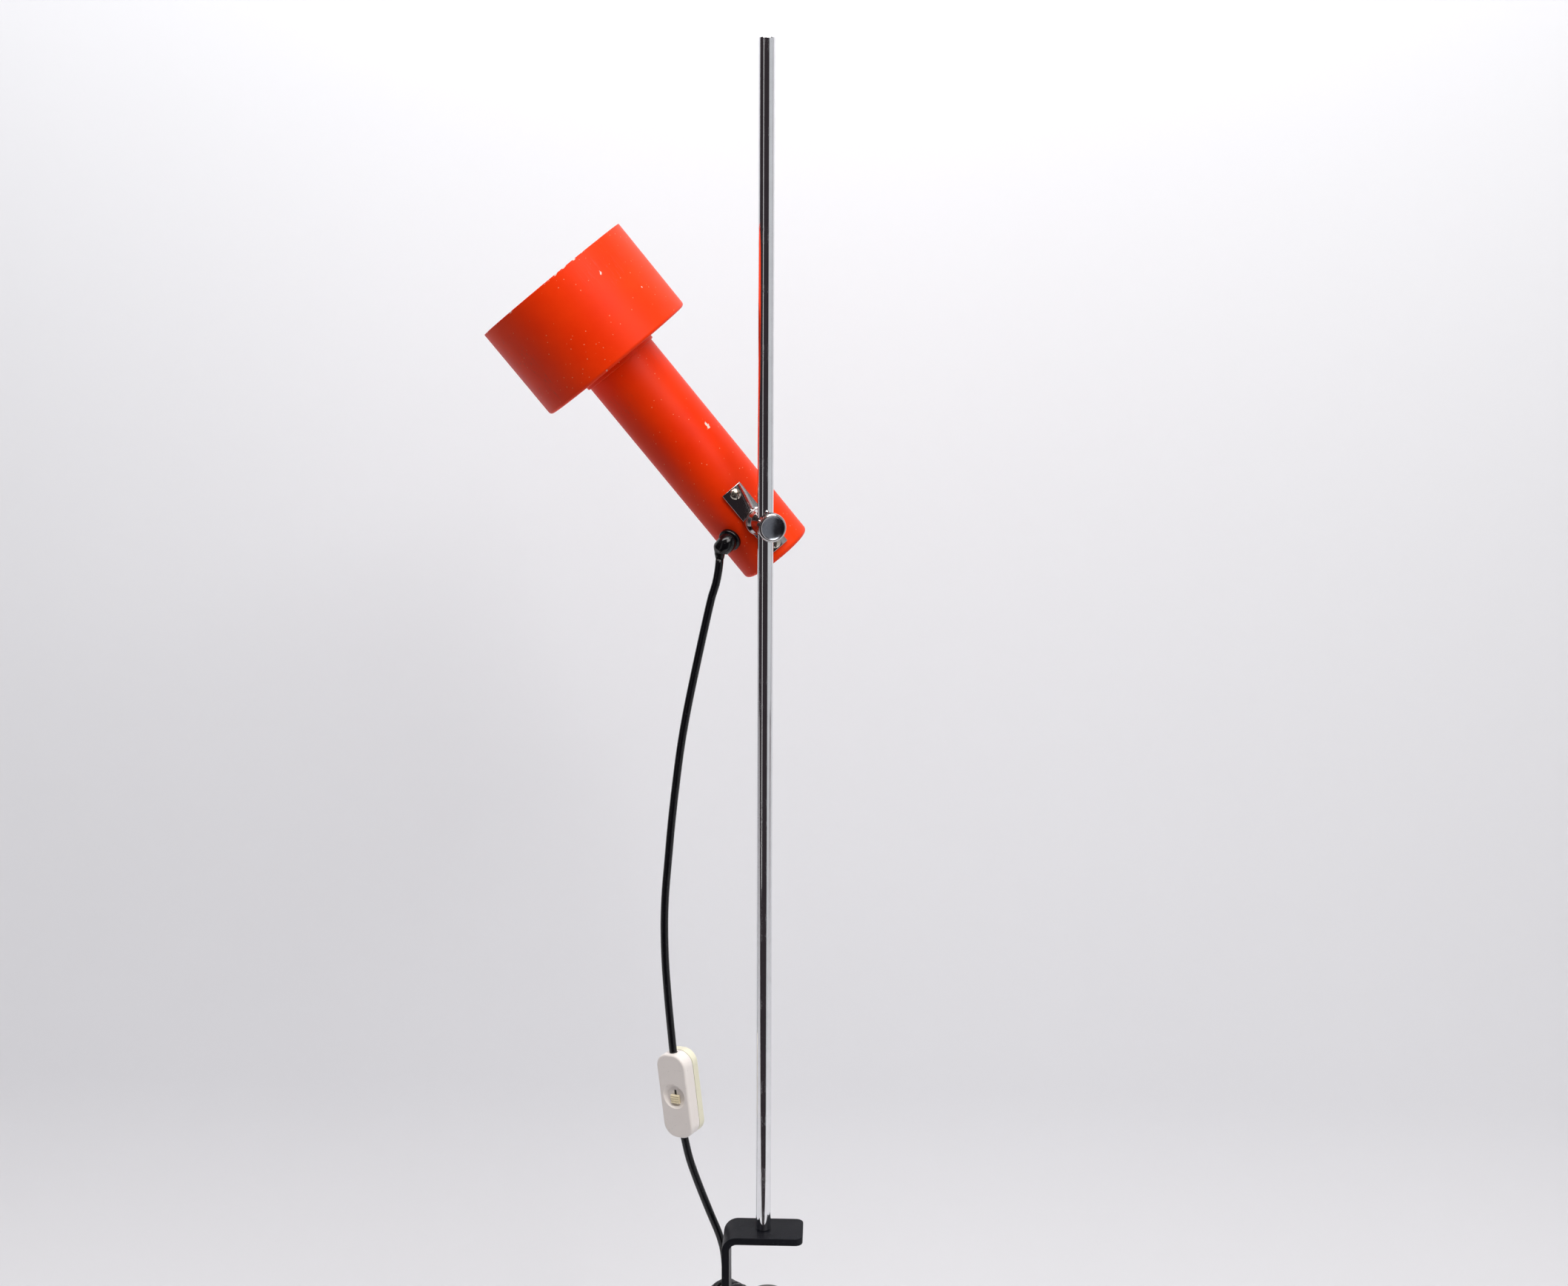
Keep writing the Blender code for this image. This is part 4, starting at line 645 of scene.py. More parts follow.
def orange_red_enamel(name, chips, rim=None):
    """Glossy orange-red enamel in the head's frame. chips are (angle, height, size, stretch) on a radius."""
    made, tree, shader = start_material(name, Specular_IOR_Level=0.14)
    at = object_place(tree, neck)
    worn = marked(tree, at, 14, 520, 16)
    deep, bright = (0.78, 0.027, 0.0004), (0.88, 0.044, 0.0008)
    base = mixed(tree, between(tree, worn["Clouds"], 0.3, 0.7), deep, bright)
    masks = []
    for radius, angle, height, size, stretch in chips:
        spot = tree.nodes.new("ShaderNodeGroup")
        spot.node_tree = chip_group
        turn = math.radians(angle)
        tree.links.new(at, spot.inputs["Vector"])
        spot.inputs["Centre"].default_value = (radius * math.cos(turn), radius * math.sin(turn), height)
        spot.inputs["Stretch"].default_value = stretch
        spot.inputs["Size"].default_value = size
        masks.append(spot.outputs["Mask"])
    if rim:
        height = add(tree, "ShaderNodeSeparateXYZ", {"Vector": at}).outputs["Z"]
        edge = between(tree, height, rim - 0.0011, rim - 0.0002)
        grain = {"Vector": at, "Scale": 170.0, "Detail": 6.0, "Roughness": 0.7}
        torn = add(tree, "ShaderNodeTexNoise", grain)
        bite = between(tree, torn.outputs["Fac"], 0.60, 0.63)
        masks.append(add(tree, "ShaderNodeMath", {0: edge, 1: bite}, operation="MULTIPLY").outputs[0])
    chipped = highest(tree, masks)
    fine = mixed(tree, worn["Specks"], base, (0.86, 0.26, 0.14))
    rubbed = mixed(tree, worn["Scratches"], fine, (0.62, 0.05, 0.02))
    tree.links.new(mixed(tree, chipped, rubbed, (0.72, 0.60, 0.52)), shader.inputs["Base Color"])
    gloss = between(tree, worn["Clouds"], 0.3, 0.7, 0.40, 0.48)
    rough = add(tree, "ShaderNodeMath", {0: chipped, 1: 0.25, 2: gloss}, operation="MULTIPLY_ADD").outputs[0]
    tree.links.new(rough, shader.inputs["Roughness"])
    peel = add(tree, "ShaderNodeTexNoise", {"Vector": at, "Scale": 260.0, "Detail": 2.0}).outputs["Fac"]
    first = bumped(tree, shader, peel, 0.00004, 0.35)
    lowered = add(tree, "ShaderNodeMath", {0: 1.0, 1: chipped}, operation="SUBTRACT").outputs[0]
    bumped(tree, shader, lowered, 0.00012, 1.0, first)
    return made


can_edge_r = 0.003
mouth = can_high.z
flange_r = max(p.x for p in corners_in("lamp_can", neck))
inner_r = can_r - can_wall
flange = mouth - can_wall
can = spun(filleted([(0, 0), (can_r, 0, can_edge_r), (can_r, flange), (flange_r, flange, 0.0003),
                     (flange_r, mouth, 0.0003), (inner_r, mouth, 0.0008),
                     (inner_r, can_wall, can_edge_r - can_wall), (0, can_wall)], 6), 160)
gland_point = centre_of("gland_nut")
gland_out = (gland_point - can_origin - can_axis * can_axis.dot(gland_point - can_origin)).normalized()
gland_line = facing(gland_point, gland_out, can_axis)
can = carved(can, cylinder(pin_r + clearance, foot_end - 0.004, 0.04, neck.inverted() @ stud_place),
             cylinder(0.0053, 0.0, 0.02, neck.inverted() @ gland_line))
can_chips = ((can_r, 307, 0.0948, 0.0013, (1, 1, 0.5)), (can_r, 213, 0.0599, 0.0004, (1, 1, 1)),
             (can_r - 0.001, 262, 0.0010, 0.0005, (1, 1, 1)))
can_paint = orange_red_enamel("orange_red_enamel_can", can_chips)
finished("can_painted", can, neck, "head", can_paint, "lamp_can")

collar_low, collar_high = reach("shade_collar", neck)
collar_r = collar_high.x
collar = spun(filleted([(can_r + 0.0001, collar_low.z), (collar_r, collar_low.z, 0.0007),
                        (collar_r, collar_high.z + 0.0002), (can_r + 0.0001, collar_high.z + 0.0002)]), 160)
finished("collar_painted", collar, neck, "head", can_paint, "shade_collar")

# ---------------------------------------------------------------- shade
# Spun aluminium shade: a flat back, a rounded edge and a straight wall with a plain rim. It is enamelled like
# the can outside and warm white inside, and its rim has lost paint in small bites.


def white_enamel():
    """Warm white reflecting enamel, slightly yellowed."""
    made, tree, shader = start_material("warm_white_enamel", Specular_IOR_Level=0.4)
    worn = marked(tree, object_place(tree, neck), 20, 600, 25)
    base = mixed(tree, worn["Clouds"], (0.70, 0.66, 0.56), (0.80, 0.77, 0.69))
    coated(tree, shader, mixed(tree, worn["Specks"], base, (0.35, 0.30, 0.24)), worn["Clouds"], 0.38, 0.52)
    bumped(tree, shader, worn["Clouds"], 0.0001, 0.2)
    return made


shade_r, shade_wall, shade_edge_r = shade_high.x, 0.001, 0.0022
back, rim = shade_low.z, shade_high.z
hole_r = can_r + 0.0002
shade = spun(filleted([(hole_r, back), (shade_r, back, shade_edge_r), (shade_r, rim, 0.00035),
                       (shade_r - shade_wall, rim, 0.00035),
                       (shade_r - shade_wall, back + shade_wall, shade_edge_r - shade_wall),
                       (hole_r, back + shade_wall)], 6), 192)
for f in shade.faces:
    middle = f.calc_center_median()
    within = middle.xy.length < shade_r - 0.7 * shade_wall
    f.material_index = int(within and middle.z > back + 0.6 * shade_wall)
shade_chips = ((shade_r, 289.7, 0.2100, 0.0008, (1.0, 1.0, 0.7)), (shade_r, 308.8, 0.1875, 0.0005, (1, 1, 1)),
               (shade_r - 0.0006, 252, 0.1622, 0.0007, (1, 1, 1)),
               (shade_r, 266, 0.2267, 0.0007, (0.5, 0.5, 1)),
               (shade_r, 273, 0.2267, 0.0006, (0.4, 0.4, 1)), (shade_r, 281, 0.2267, 0.0008, (0.6, 0.6, 1)),
               (shade_r, 289, 0.2267, 0.0005, (0.5, 0.5, 1)))
shade_paint = orange_red_enamel("orange_red_enamel_shade", shade_chips, rim)
finished("shade_painted", shade, neck, "head", [shade_paint, white_enamel()], "shade")

# ---------------------------------------------------------------- saddle plate, its screws and the seat ring
# A strip of chromed steel follows the can's curve. Two nickel-plated slotted screws hold it, and a ring with
# an angled face stands between it and the stud's foot.

plate_low, plate_high = reach("saddle_plate", neck)
plate_r = max(p.xy.length for p in corners_in("saddle_plate", neck))
plate_wall = 0.0015
half_turn = math.asin(plate_high.x / plate_r)
plate = bmesh.new()
edge = [plate.verts.new((plate_r, 0, z)) for z in (plate_low.z, plate_high.z)]
bmesh.ops.rotate(plate, verts=edge, cent=(0, 0, 0), matrix=Matrix.Rotation(-math.pi / 2 - half_turn, 3, "Z"))
bmesh.ops.spin(plate, geom=[*edge, plate.edges.new(edge)], cent=(0, 0, 0), axis=(0, 0, 1), dvec=(0, 0, 0),
               angle=2 * half_turn, steps=24)
bmesh.ops.recalc_face_normals(plate, faces=plate.faces)
if plate.faces[0].normal.dot(Vector((*plate.faces[0].calc_center_median().xy, 0))) < 0:
    bmesh.ops.reverse_faces(plate, faces=plate.faces)
bmesh.ops.solidify(plate, geom=plate.faces[:], thickness=plate_wall)
rounded(plate, sharp_edges(plate, 60), 0.00035, 3)
screw_ends = {name: centre_of(name) for name in ("plate_screw_front", "plate_screw_rear")}
to_neck = neck.inverted()
holes = [cylinder(0.0022, 0.015, 0.035, Matrix.Translation((0, 0, (to_neck @ place).z))
                  @ Matrix.Rotation(math.pi / 2, 4, "X"), 32) for place in screw_ends.values()]
plate = carved(plate, cylinder(pin_r + clearance, foot_end - 0.004, 0.04, to_neck @ stud_place, 48), *holes)
finished("saddle_plate_chromed", plate, neck, "head", smoky_chrome, "saddle_plate")

seat_r = seat_high.x
ring_high = seat_low.z + 0.0050
seat = spun(filleted([(pin_r + clearance, ring_high), (seat_r, ring_high), (seat_r, seat_low.z, 0.0005),
                      (pin_r + clearance, seat_low.z)]), 112)
seat = carved(seat, cylinder(plate_r + 0.0001, -0.01, 0.09, stud_place.inverted() @ neck, 160))
finished("seat_ring", seat, stud_place, "head", smoky_chrome, "stud_seat")

nickel = dull_metal("aged_nickel", (0.66, 0.63, 0.57), 0.20, 220, (0.36, 0.31, 0.25))
head_r, head_h, slot_w, slot_d = 0.00365, 0.0017, 0.0008, 0.0009
for name, place in screw_ends.items():
    local = to_neck @ place
    axis = neck @ Matrix.Translation((0, 0, local.z)) @ Matrix.Rotation(math.pi / 2, 4, "X")
    end = reach(name, axis)[0].z
    dome = [(head_r * math.cos(math.radians(a)), plate_r + head_h * math.sin(math.radians(a)))
            for a in (90, 75, 60, 45, 30, 15, 0)]
    head = spun([(0, dome[0][1]), *dome[1:], (head_r, plate_r + 0.0001), (0.002, plate_r + 0.0001),
                 (0.002, end), (0, end)], 56)
    slot = pulled([(-0.006, -slot_w / 2), (0.006, -slot_w / 2), (0.006, slot_w / 2), (-0.006, slot_w / 2)],
                  0.01)
    turn = Matrix.Rotation(math.radians(-20 if name.endswith("front") else 55), 4, "Z")
    raise_slot = Matrix.Translation((0, 0, plate_r + head_h - slot_d))
    bmesh.ops.transform(slot, matrix=raise_slot @ turn, verts=slot.verts)
    head = carved(head, slot)
    rounded(head, sharp_edges(head, 50), 0.00006, 1)
    finished(name + "_slotted", head, axis, "head", nickel, name)

# ---------------------------------------------------------------- bracket, bulb holder and bulb
# Inside the can, a zinc-plated strip carries a bakelite screw holder with a ceramic insert and brass
# contacts. The bulb is a pear of ruby glass, as darkroom lamps have, on a nickelled brass cap.


def clouded(name, dark, light, rough_low, rough_high, scale=40.0, depth=0.00005, **sockets):
    """A plain moulded or glazed finish with clouds in its colour and gloss."""
    made, tree, shader = start_material(name, **sockets)
    worn = marked(tree, object_place(tree), scale, 900, 40)
    base = mixed(tree, worn["Clouds"], dark, light)
    speck = tuple(0.5 * (d + light_) for d, light_ in zip(dark, (0.25, 0.24, 0.22)))
    coated(tree, shader, mixed(tree, worn["Specks"], base, speck), worn["Clouds"], rough_low, rough_high)
    bumped(tree, shader, worn["Clouds"], depth, 0.3)
    return made


def ruby_glass():
    """Ruby glass: deep red right through, with faint ripples."""
    made, tree, shader = start_material("ruby_glass", Transmission_Weight=0.92, IOR=1.5)
    at = object_place(tree, neck)
    worn = marked(tree, at, 60, 900, 40)
    colour = mixed(tree, worn["Clouds"], (0.50, 0.004, 0.006), (0.66, 0.012, 0.012))
    coated(tree, shader, colour, worn["Clouds"], 0.03, 0.08)
    bumped(tree, shader, worn["Clouds"], 0.0002, 0.15)
    return made


brass = dull_metal("plain_brass", (0.80, 0.60, 0.28), 0.26, 120)
bulb_cap_metal = dull_metal("nickelled_brass", (0.76, 0.66, 0.46), 0.24, 90)
solder = dull_metal("solder", (0.62, 0.62, 0.63), 0.36, 300)
bakelite = clouded("brown_black_bakelite", (0.018, 0.010, 0.007), (0.036, 0.020, 0.013), 0.24, 0.38, 60)
ceramic = clouded("glazed_ceramic", (0.74, 0.72, 0.66), (0.84, 0.82, 0.78), 0.20, 0.34, 60)
brown_lead = clouded("brown_lead", (0.12, 0.04, 0.014), (0.20, 0.075, 0.03), 0.36, 0.50, 90)
blue_lead = clouded("blue_lead", (0.015, 0.08, 0.34), (0.03, 0.13, 0.48), 0.36, 0.50, 90)
inner_finishes = {
    zinc: ("pole_screw", "friction_washer", "stud_nut", "inner_seat", "holder_bracket", "holder_nipple",
           "holder_nut", "gland_nut", "switch_screw_1", "switch_screw_2"),
    brass: ("pressure_shoe", "knob_stem", "screw_shell", "centre_contact", "switch_bridge",
            "switch_contact_in", "switch_contact_out"),
    bulb_cap_metal: ("bulb_cap",),
    solder: ("bulb_tip",),
    ceramic: ("holder_insert",),
    brown_lead: ("lead_brown",),
    blue_lead: ("lead_blue",),
}
for finish, names in inner_finishes.items():
    for name in names:
        slots = frame["nodes"][name].data.materials
        slots.clear()
        slots.append(finish)

cap_low, cap_high = reach("holder_cap", neck)
skirt_low, skirt_high = reach("holder_skirt", neck)
holder_r, nipple_r = skirt_high.x, 0.0053
holder_cap = spun(filleted([(nipple_r, cap_low.z), (holder_r, cap_low.z, 0.006), (holder_r, cap_high.z),
                            (holder_r - 0.002, cap_high.z), (holder_r - 0.002, cap_low.z + 0.002, 0.004),
                            (nipple_r, cap_low.z + 0.002)], 6), 96)
finished("holder_cap_moulded", holder_cap, neck, "head", bakelite, "holder_cap")
bore = 0.0149
skirt_ribs = [(holder_r - (0.0006 if i % 2 else 0.0), skirt_low.z + 0.004 + 0.0022 * i) for i in range(8)]
skirt = spun(filleted([(bore, skirt_high.z), (holder_r - 0.0012, skirt_high.z, 0.0008),
                       (holder_r - 0.0012, skirt_low.z + 0.0225, 0.0004),
                       (holder_r, skirt_low.z + 0.021, 0.0004)])
             + list(reversed(skirt_ribs)) + [(holder_r, skirt_low.z), (bore, skirt_low.z)], 96)
finished("holder_skirt_moulded", skirt, neck, "head", bakelite, "holder_skirt")

glass_low, glass_high = reach("bulb_glass", neck)
bulb_r, glass_wall, foot_r = glass_high.x, 0.0008, 0.0124
globe = glass_high.z - bulb_r
sides = 12
swell = [(foot_r + (bulb_r - foot_r) * (1 - math.cos(math.pi * i / sides)) / 2,
          glass_low.z + (globe - glass_low.z) * i / sides) for i in range(sides)]
dome = [(math.cos(math.radians(9 * i)), math.sin(math.radians(9 * i))) for i in range(10)]
outside = swell + [(bulb_r * c, globe + bulb_r * s) for c, s in dome]
inner_bulb_r = bulb_r - glass_wall
inside = [(r - glass_wall, t) for r, t in swell]
inside += [(inner_bulb_r * c, globe + inner_bulb_r * s) for c, s in dome]
outside[-1], inside[-1] = (0, outside[-1][1]), (0, inside[-1][1])
bulb = spun(outside[::-1] + inside, 96)
finished("bulb_ruby", bulb, neck, "head", ruby_glass(), "bulb_glass")

# ---------------------------------------------------------------- gland
# Moulded black gland: a round flange on the can, and a rounded hood whose nozzle turns down to the cord.

gland_base = can_origin + can_axis * can_axis.dot(gland_point - can_origin) + gland_out * can_r
gland = facing(gland_base, gland_out, -can_axis)
cord_r = 0.00262

# the cord's own route: the gland to the switch, and the switch to the hank
upper_route = (
    (-0.0438, 0.0162, 0.4591),
    (-0.0446, 0.0163, 0.4510),
    (-0.0466, 0.0163, 0.4410),
    (-0.0494, 0.0164, 0.4320),
    (-0.0569, 0.0170, 0.3984),
    (-0.0646, 0.0175, 0.3616),
    (-0.0692, 0.0179, 0.3355),
    (-0.0728, 0.0183, 0.3087),
    (-0.0759, 0.0187, 0.2816),
    (-0.0784, 0.0191, 0.2548),
    (-0.0803, 0.0194, 0.2329),
    (-0.0811, 0.0197, 0.2112),
    (-0.0807, 0.0201, 0.1862),
    (-0.0792, 0.0205, 0.1614),
    (-0.0777, 0.0208, 0.1426),
    (-0.0759, 0.0211, 0.1220),
)
lower_route = (
    (-0.0689, 0.0219, 0.0610),
    (-0.0655, 0.0222, 0.0450),
    (-0.0611, 0.0224, 0.0310),
    (-0.0560, 0.0226, 0.0167),
    (-0.0505, 0.0228, 0.0021),
    (-0.0459, 0.0230, -0.0096),
    (-0.0426, 0.0233, -0.0211),
    (-0.0411, 0.0236, -0.0340),
    (-0.0408, 0.0238, -0.0480),
    (-0.0408, 0.0238, -0.0630),
)


def smooth_line(route, step):
    """Evenly spaced points on a smooth curve through a route's points."""
    points = [Vector(p) for p in route]
    points = [2 * points[0] - points[1], *points, 2 * points[-1] - points[-2]]
    fine = []
    for a, b, c, d in zip(points, points[1:], points[2:], points[3:]):
        for i in range(40):
            t = i / 40
            fine.append(0.5 * (2 * b + (c - a) * t + (2 * a - 5 * b + 4 * c - d) * t * t
                               + (3 * b - a - 3 * c + d) * t ** 3))
    fine.append(points[-2])
    return evenly(fine, step)


def evenly(fine, step):
    """The points of a fine line, spaced evenly."""
    lengths = [0.0]
    for a, b in zip(fine, fine[1:]):
        lengths.append(lengths[-1] + (b - a).length)
    count = max(2, round(lengths[-1] / step))
    picked, at = [], 0
    for i in range(count + 1):
        wanted = lengths[-1] * i / count
        while at < len(fine) - 2 and lengths[at + 1] < wanted:
            at += 1
        share = (wanted - lengths[at]) / max(lengths[at + 1] - lengths[at], 1e-9)
        picked.append(fine[at].lerp(fine[at + 1], min(1.0, share)))
    return picked


def swept(points, radii, resolution=6):
    """A bmesh tube along points, closed at its ends."""
    data = bpy.data.curves.new("sweep", "CURVE")
    data.dimensions = "3D"
    data.use_fill_caps = True
    data.bevel_resolution = resolution
    widest = max(radii)
    data.bevel_depth = widest
    spline = data.splines.new("POLY")
    spline.points.add(len(points) - 1)
    for point, place, radius in zip(spline.points, points, radii):
        point.co = (*place, 1)
        point.radius = radius / widest
    curve = bpy.data.objects.new("sweep", data)
    bpy.context.scene.collection.objects.link(curve)
    bpy.context.view_layer.update()
    mesh = bpy.data.meshes.new_from_object(curve.evaluated_get(bpy.context.evaluated_depsgraph_get()))
    bm = bmesh.new()
    bm.from_mesh(mesh)
    bmesh.ops.remove_doubles(bm, verts=bm.verts, dist=1e-6)
    bpy.data.objects.remove(curve)
    return bm


gland_exit = gland.inverted() @ Vector(upper_route[0])
exit_way = gland.inverted().to_3x3() @ (Vector(upper_route[1]) - Vector(upper_route[0])).normalized()
flange_gr, flange_gh = 0.0074, 0.003
hood = [Vector((0, 0, 0.0012)), Vector((0, 0, 0.0062)), gland_exit - exit_way * 0.0050, gland_exit]
hood_line = smooth_line(hood, 0.0005)
hood_sizes = ((0.0, 0.0056), (0.25, 0.0061), (0.60, 0.0056), (0.80, 0.0034), (1.0, 0.0029))


def size_at(share, sizes):
    """A radius read smoothly between the sizes along a line."""
    for (a, first), (b, second) in zip(sizes, sizes[1:]):
        if share <= b:
            t = (share - a) / (b - a)
            return first + (second - first) * t * t * (3 - 2 * t)
    return sizes[-1][1]


hood_radii = [size_at(i / (len(hood_line) - 1), hood_sizes) for i in range(len(hood_line))]
nozzle = swept(hood_line, hood_radii, 10)
flange_ring = spun(filleted([(0, flange_gh + 0.0004), (0.0045, flange_gh + 0.0004, 0.0006),
                             (flange_gr, flange_gh - 0.0002, 0.0011), (flange_gr, 0.0002, 0.0003),
                             (0.005, 0.0002), (0.005, -0.010), (0, -0.010)], 5), 96)
gloss_black = black_moulding("gloss_black_moulding", 0.13, 1200.0)
finished("gland_hooded", merged(flange_ring, nozzle), gland, "head", gloss_black,
         "cord_gland", 50)

# ---------------------------------------------------------------- in-line switch
# Two moulded shells, the front pinkish cream and the rear yellowed ivory, with a dark seam between them.
# A round dish in the front holds a small slider, which moves up to switch the lamp.

contact_up, contact_down = centre_of("switch_contact_in"), centre_of("switch_contact_out")
switch_up = (contact_up - contact_down).normalized()
switch_x = (centre_of("switch_screw_2") - centre_of("switch_screw_1")).normalized()
switch_back = switch_x.cross(switch_up).normalized()
line_point = (Vector(upper_route[-1]) + Vector(lower_route[0])) / 2
switch = facing(line_point, switch_back, switch_up)
front_low, front_high = reach("switch_front", switch)
rear_low, rear_high = reach("switch_rear", switch)
slider_low, slider_high = reach("switch_slider", switch)
case_w, case_l, case_r = front_high.x - front_low.x, front_high.y - front_low.y, 0.0095


def round_box(x, y, r, steps):
    """The outline of a rectangle of half sizes x and y with rounded corners."""
    return filleted([(x, y, r), (-x, y, r), (-x, -y, r), (x, -y, r)], steps)


def shell_outline(inset=0.0):
    """The case's outline, drawn in by an inset."""
    return round_box(case_w / 2 - inset, case_l / 2 - inset, case_r - inset, 10)


def round_rim(bm, level, radius, segments):
    """Rounds the sharp edges that lie at one height."""
    rounded(bm, [e for e in sharp_edges(bm, 60) if all(abs(v.co.z - level) < 1e-6 for v in e.verts)],
            radius, segments)


def moved(bm, by):
    bmesh.ops.translate(bm, verts=bm.verts, vec=by)
    return bm


cream = clouded("pinkish_cream_moulding", (0.84, 0.78, 0.74), (0.91, 0.86, 0.82), 0.30, 0.44, 70, 0.00004)
ivory = clouded("yellowed_ivory_moulding", (0.80, 0.77, 0.58), (0.87, 0.85, 0.68), 0.30, 0.44, 70, 0.00004)
slider_plastic = clouded("yellow_cream_moulding", (0.84, 0.73, 0.48), (0.91, 0.82, 0.60), 0.28, 0.40,
                         120, 0.00003)
case_wall = 0.0017
dish_r, dish_floor_r, dish_depth, dish_wall = 0.0088, 0.0062, 0.0022, 0.0015
face = front_low.z
seam = front_high.z
front_shell = moved(pulled(shell_outline(), seam - face), (0, 0, face))
round_rim(front_shell, face, 0.0014, 5)
round_rim(front_shell, seam, 0.0003, 2)
floor = face + dish_depth
cavity = moved(pulled(shell_outline(case_wall), 0.02), (0, 0, floor + dish_wall))
dish = spun(filleted([(0, floor), (dish_floor_r, floor, 0.0006), (dish_r, face - 0.00002, 0.0004),
                      (dish_r + 0.002, face - 0.001), (0, face - 0.001)], 5), 96)
slot_w, slot_l = 0.0018, 0.0081
slider_y = (slider_low.y + slider_high.y) / 2
travel = joints["switch_slide"]["range_m"][1]
slot_middle = slider_y + travel / 2
slot_cut = pulled(round_box(slot_w / 2, slot_l / 2, 0.0003, 3), 0.01)
cord_way = cylinder(cord_r + 0.0002, -0.05, 0.05, Matrix.Rotation(math.pi / 2, 4, "X"), 40)
front_shell = carved(front_shell, cavity, dish, moved(slot_cut, (0, slot_middle, face)), cord_way)
finished("switch_front_shell", front_shell, switch, "carriage", cream, "switch_front")

rear_shell = moved(pulled(shell_outline(), rear_high.z - rear_low.z), (0, 0, rear_low.z))
round_rim(rear_shell, rear_high.z, 0.0016, 5)
screw_rooms = []
for name in ("switch_screw_1", "switch_screw_2"):
    low, high = reach(name, switch)
    x = (low.x + high.x) / 2
    screw_rooms.append(cylinder(high.x - x + 0.0003, high.z - 0.0007, 0.02, upright(x, 0), 40))
    screw_rooms.append(cylinder(0.0016, 0.0, 0.02, upright(x, 0), 32))
rear_cavity = moved(pulled(shell_outline(case_wall), 0.02), (0, 0, rear_high.z - case_wall - 0.02))
rear_shell = carved(rear_shell, rear_cavity, *screw_rooms)
finished("switch_rear_shell", rear_shell, switch, "carriage", ivory, "switch_rear")

cap_w, cap_l = 0.0068, 0.0060
cap = pulled(round_box(cap_w / 2, cap_l / 2, 0.0005, 4), floor - clearance - slider_low.z)
moved(cap, (0, slider_y, slider_low.z))
round_rim(cap, slider_low.z, 0.0005, 3)
ridges = [moved(cylinder(0.00045, -0.006, 0.006, Matrix.Rotation(math.pi / 2, 4, "Y"), 24),
                (0, slider_y + y, slider_low.z - 0.0001)) for y in (-0.0016, 0.0, 0.0016)]
cap = carved(cap, *ridges)
stem = moved(pulled([(0.0005, -0.0015), (0.0005, 0.0015), (-0.0005, 0.0015), (-0.0005, -0.0015)],
                    slider_high.z - floor), (0, slider_y, floor - 0.0004))
finished("switch_slider_cap", merged(cap, stem), switch, "slider", slider_plastic,
         "switch_slider")

# ---------------------------------------------------------------- cord, strap and plug
# Round black PVC lead, 5 mm thick and 1.8 m long: gland, switch, then a folded hank behind the clamp's leg
# that a moulded strap holds, and a flat two-pin plug on a short tail.

hank_turn = math.radians(138.4)
hank_inner, hank_pitch, hank_columns = 0.0358, 0.0053, 5
hank_bend_r, hank_top, hank_run = 0.016, -0.078, 0.0889
plug_top = reach("plug_body")[1].z
hank = upright(pole_x, 0) @ Matrix.Rotation(hank_turn, 4, "Z")


def hank_line():
    """The folded cord's fine line: straight runs and round folds, each fold half a pitch further out."""
    line, x = [], hank_inner
    folds = 2 * (hank_columns - 1)
    for i in range(folds + 1):
        down = i % 2 == 0
        y = 0.0 if down else -2 * hank_bend_r
        ends = (hank_top, hank_top - hank_run) if down else (hank_top - hank_run, hank_top)
        line += [Vector((x, y, ends[0] + (ends[1] - ends[0]) * k / 12)) for k in range(12)]
        if i == folds:
            line.append(Vector((x, y, ends[1])))
            break
        for k in range(24):
            angle = math.pi * k / 24
            side = -hank_bend_r + (1 if down else -1) * hank_bend_r * math.cos(angle)
            depth = hank_bend_r * math.sin(angle) * (-1 if down else 1)
            share = (1 - math.cos(angle)) / 2
            line.append(Vector((x + hank_pitch / 2 * share, side, ends[1] + depth)))
        x += hank_pitch / 2
    return line


cord_route = smooth_line(upper_route, 0.002) + smooth_line(lower_route, 0.002)
folded = hank_line()
cord_fine = cord_route + [hank @ p for p in folded]
tail_x = folded[-1].x
cord_fine.append(hank @ Vector((tail_x, 0, plug_top - 0.004)))
cord_points = evenly(cord_fine, 0.0042)


def cord_sheath():
    """Glossy black PVC: a soft sheen along it, slight flow marks and dust."""
    made, tree, shader = start_material("black_pvc_sheath", Specular_IOR_Level=0.36)
    at = object_place(tree)
    worn = marked(tree, at, 120, 1300, 60)
    base = mixed(tree, worn["Clouds"], (0.002, 0.002, 0.003), (0.005, 0.005, 0.007))
    coated(tree, shader, mixed(tree, worn["Specks"], base, (0.14, 0.14, 0.14)), worn["Clouds"], 0.15, 0.27)
    flow = add(tree, "ShaderNodeTexNoise", {"Vector": at, "Scale": 260.0, "Detail": 3.0}).outputs["Fac"]
    bumped(tree, shader, flow, 0.00009, 0.3)
    return made


sheath = cord_sheath()
cord_bm = swept(cord_points, [cord_r] * len(cord_points), 6)
bmesh.ops.recalc_face_normals(cord_bm, faces=cord_bm.faces)
cord_mesh = bpy.data.meshes.new("cord")
cord_bm.to_mesh(cord_mesh)
cord_bm.free()
cord_mesh.shade_smooth()
cord_mesh.materials.append(sheath)
cord = bpy.data.objects.new("cord", cord_mesh)
bpy.context.scene.collection.objects.link(cord)
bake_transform(cord)
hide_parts("cord_upper", "cord_lower", "cord_hank", "cord_tail")

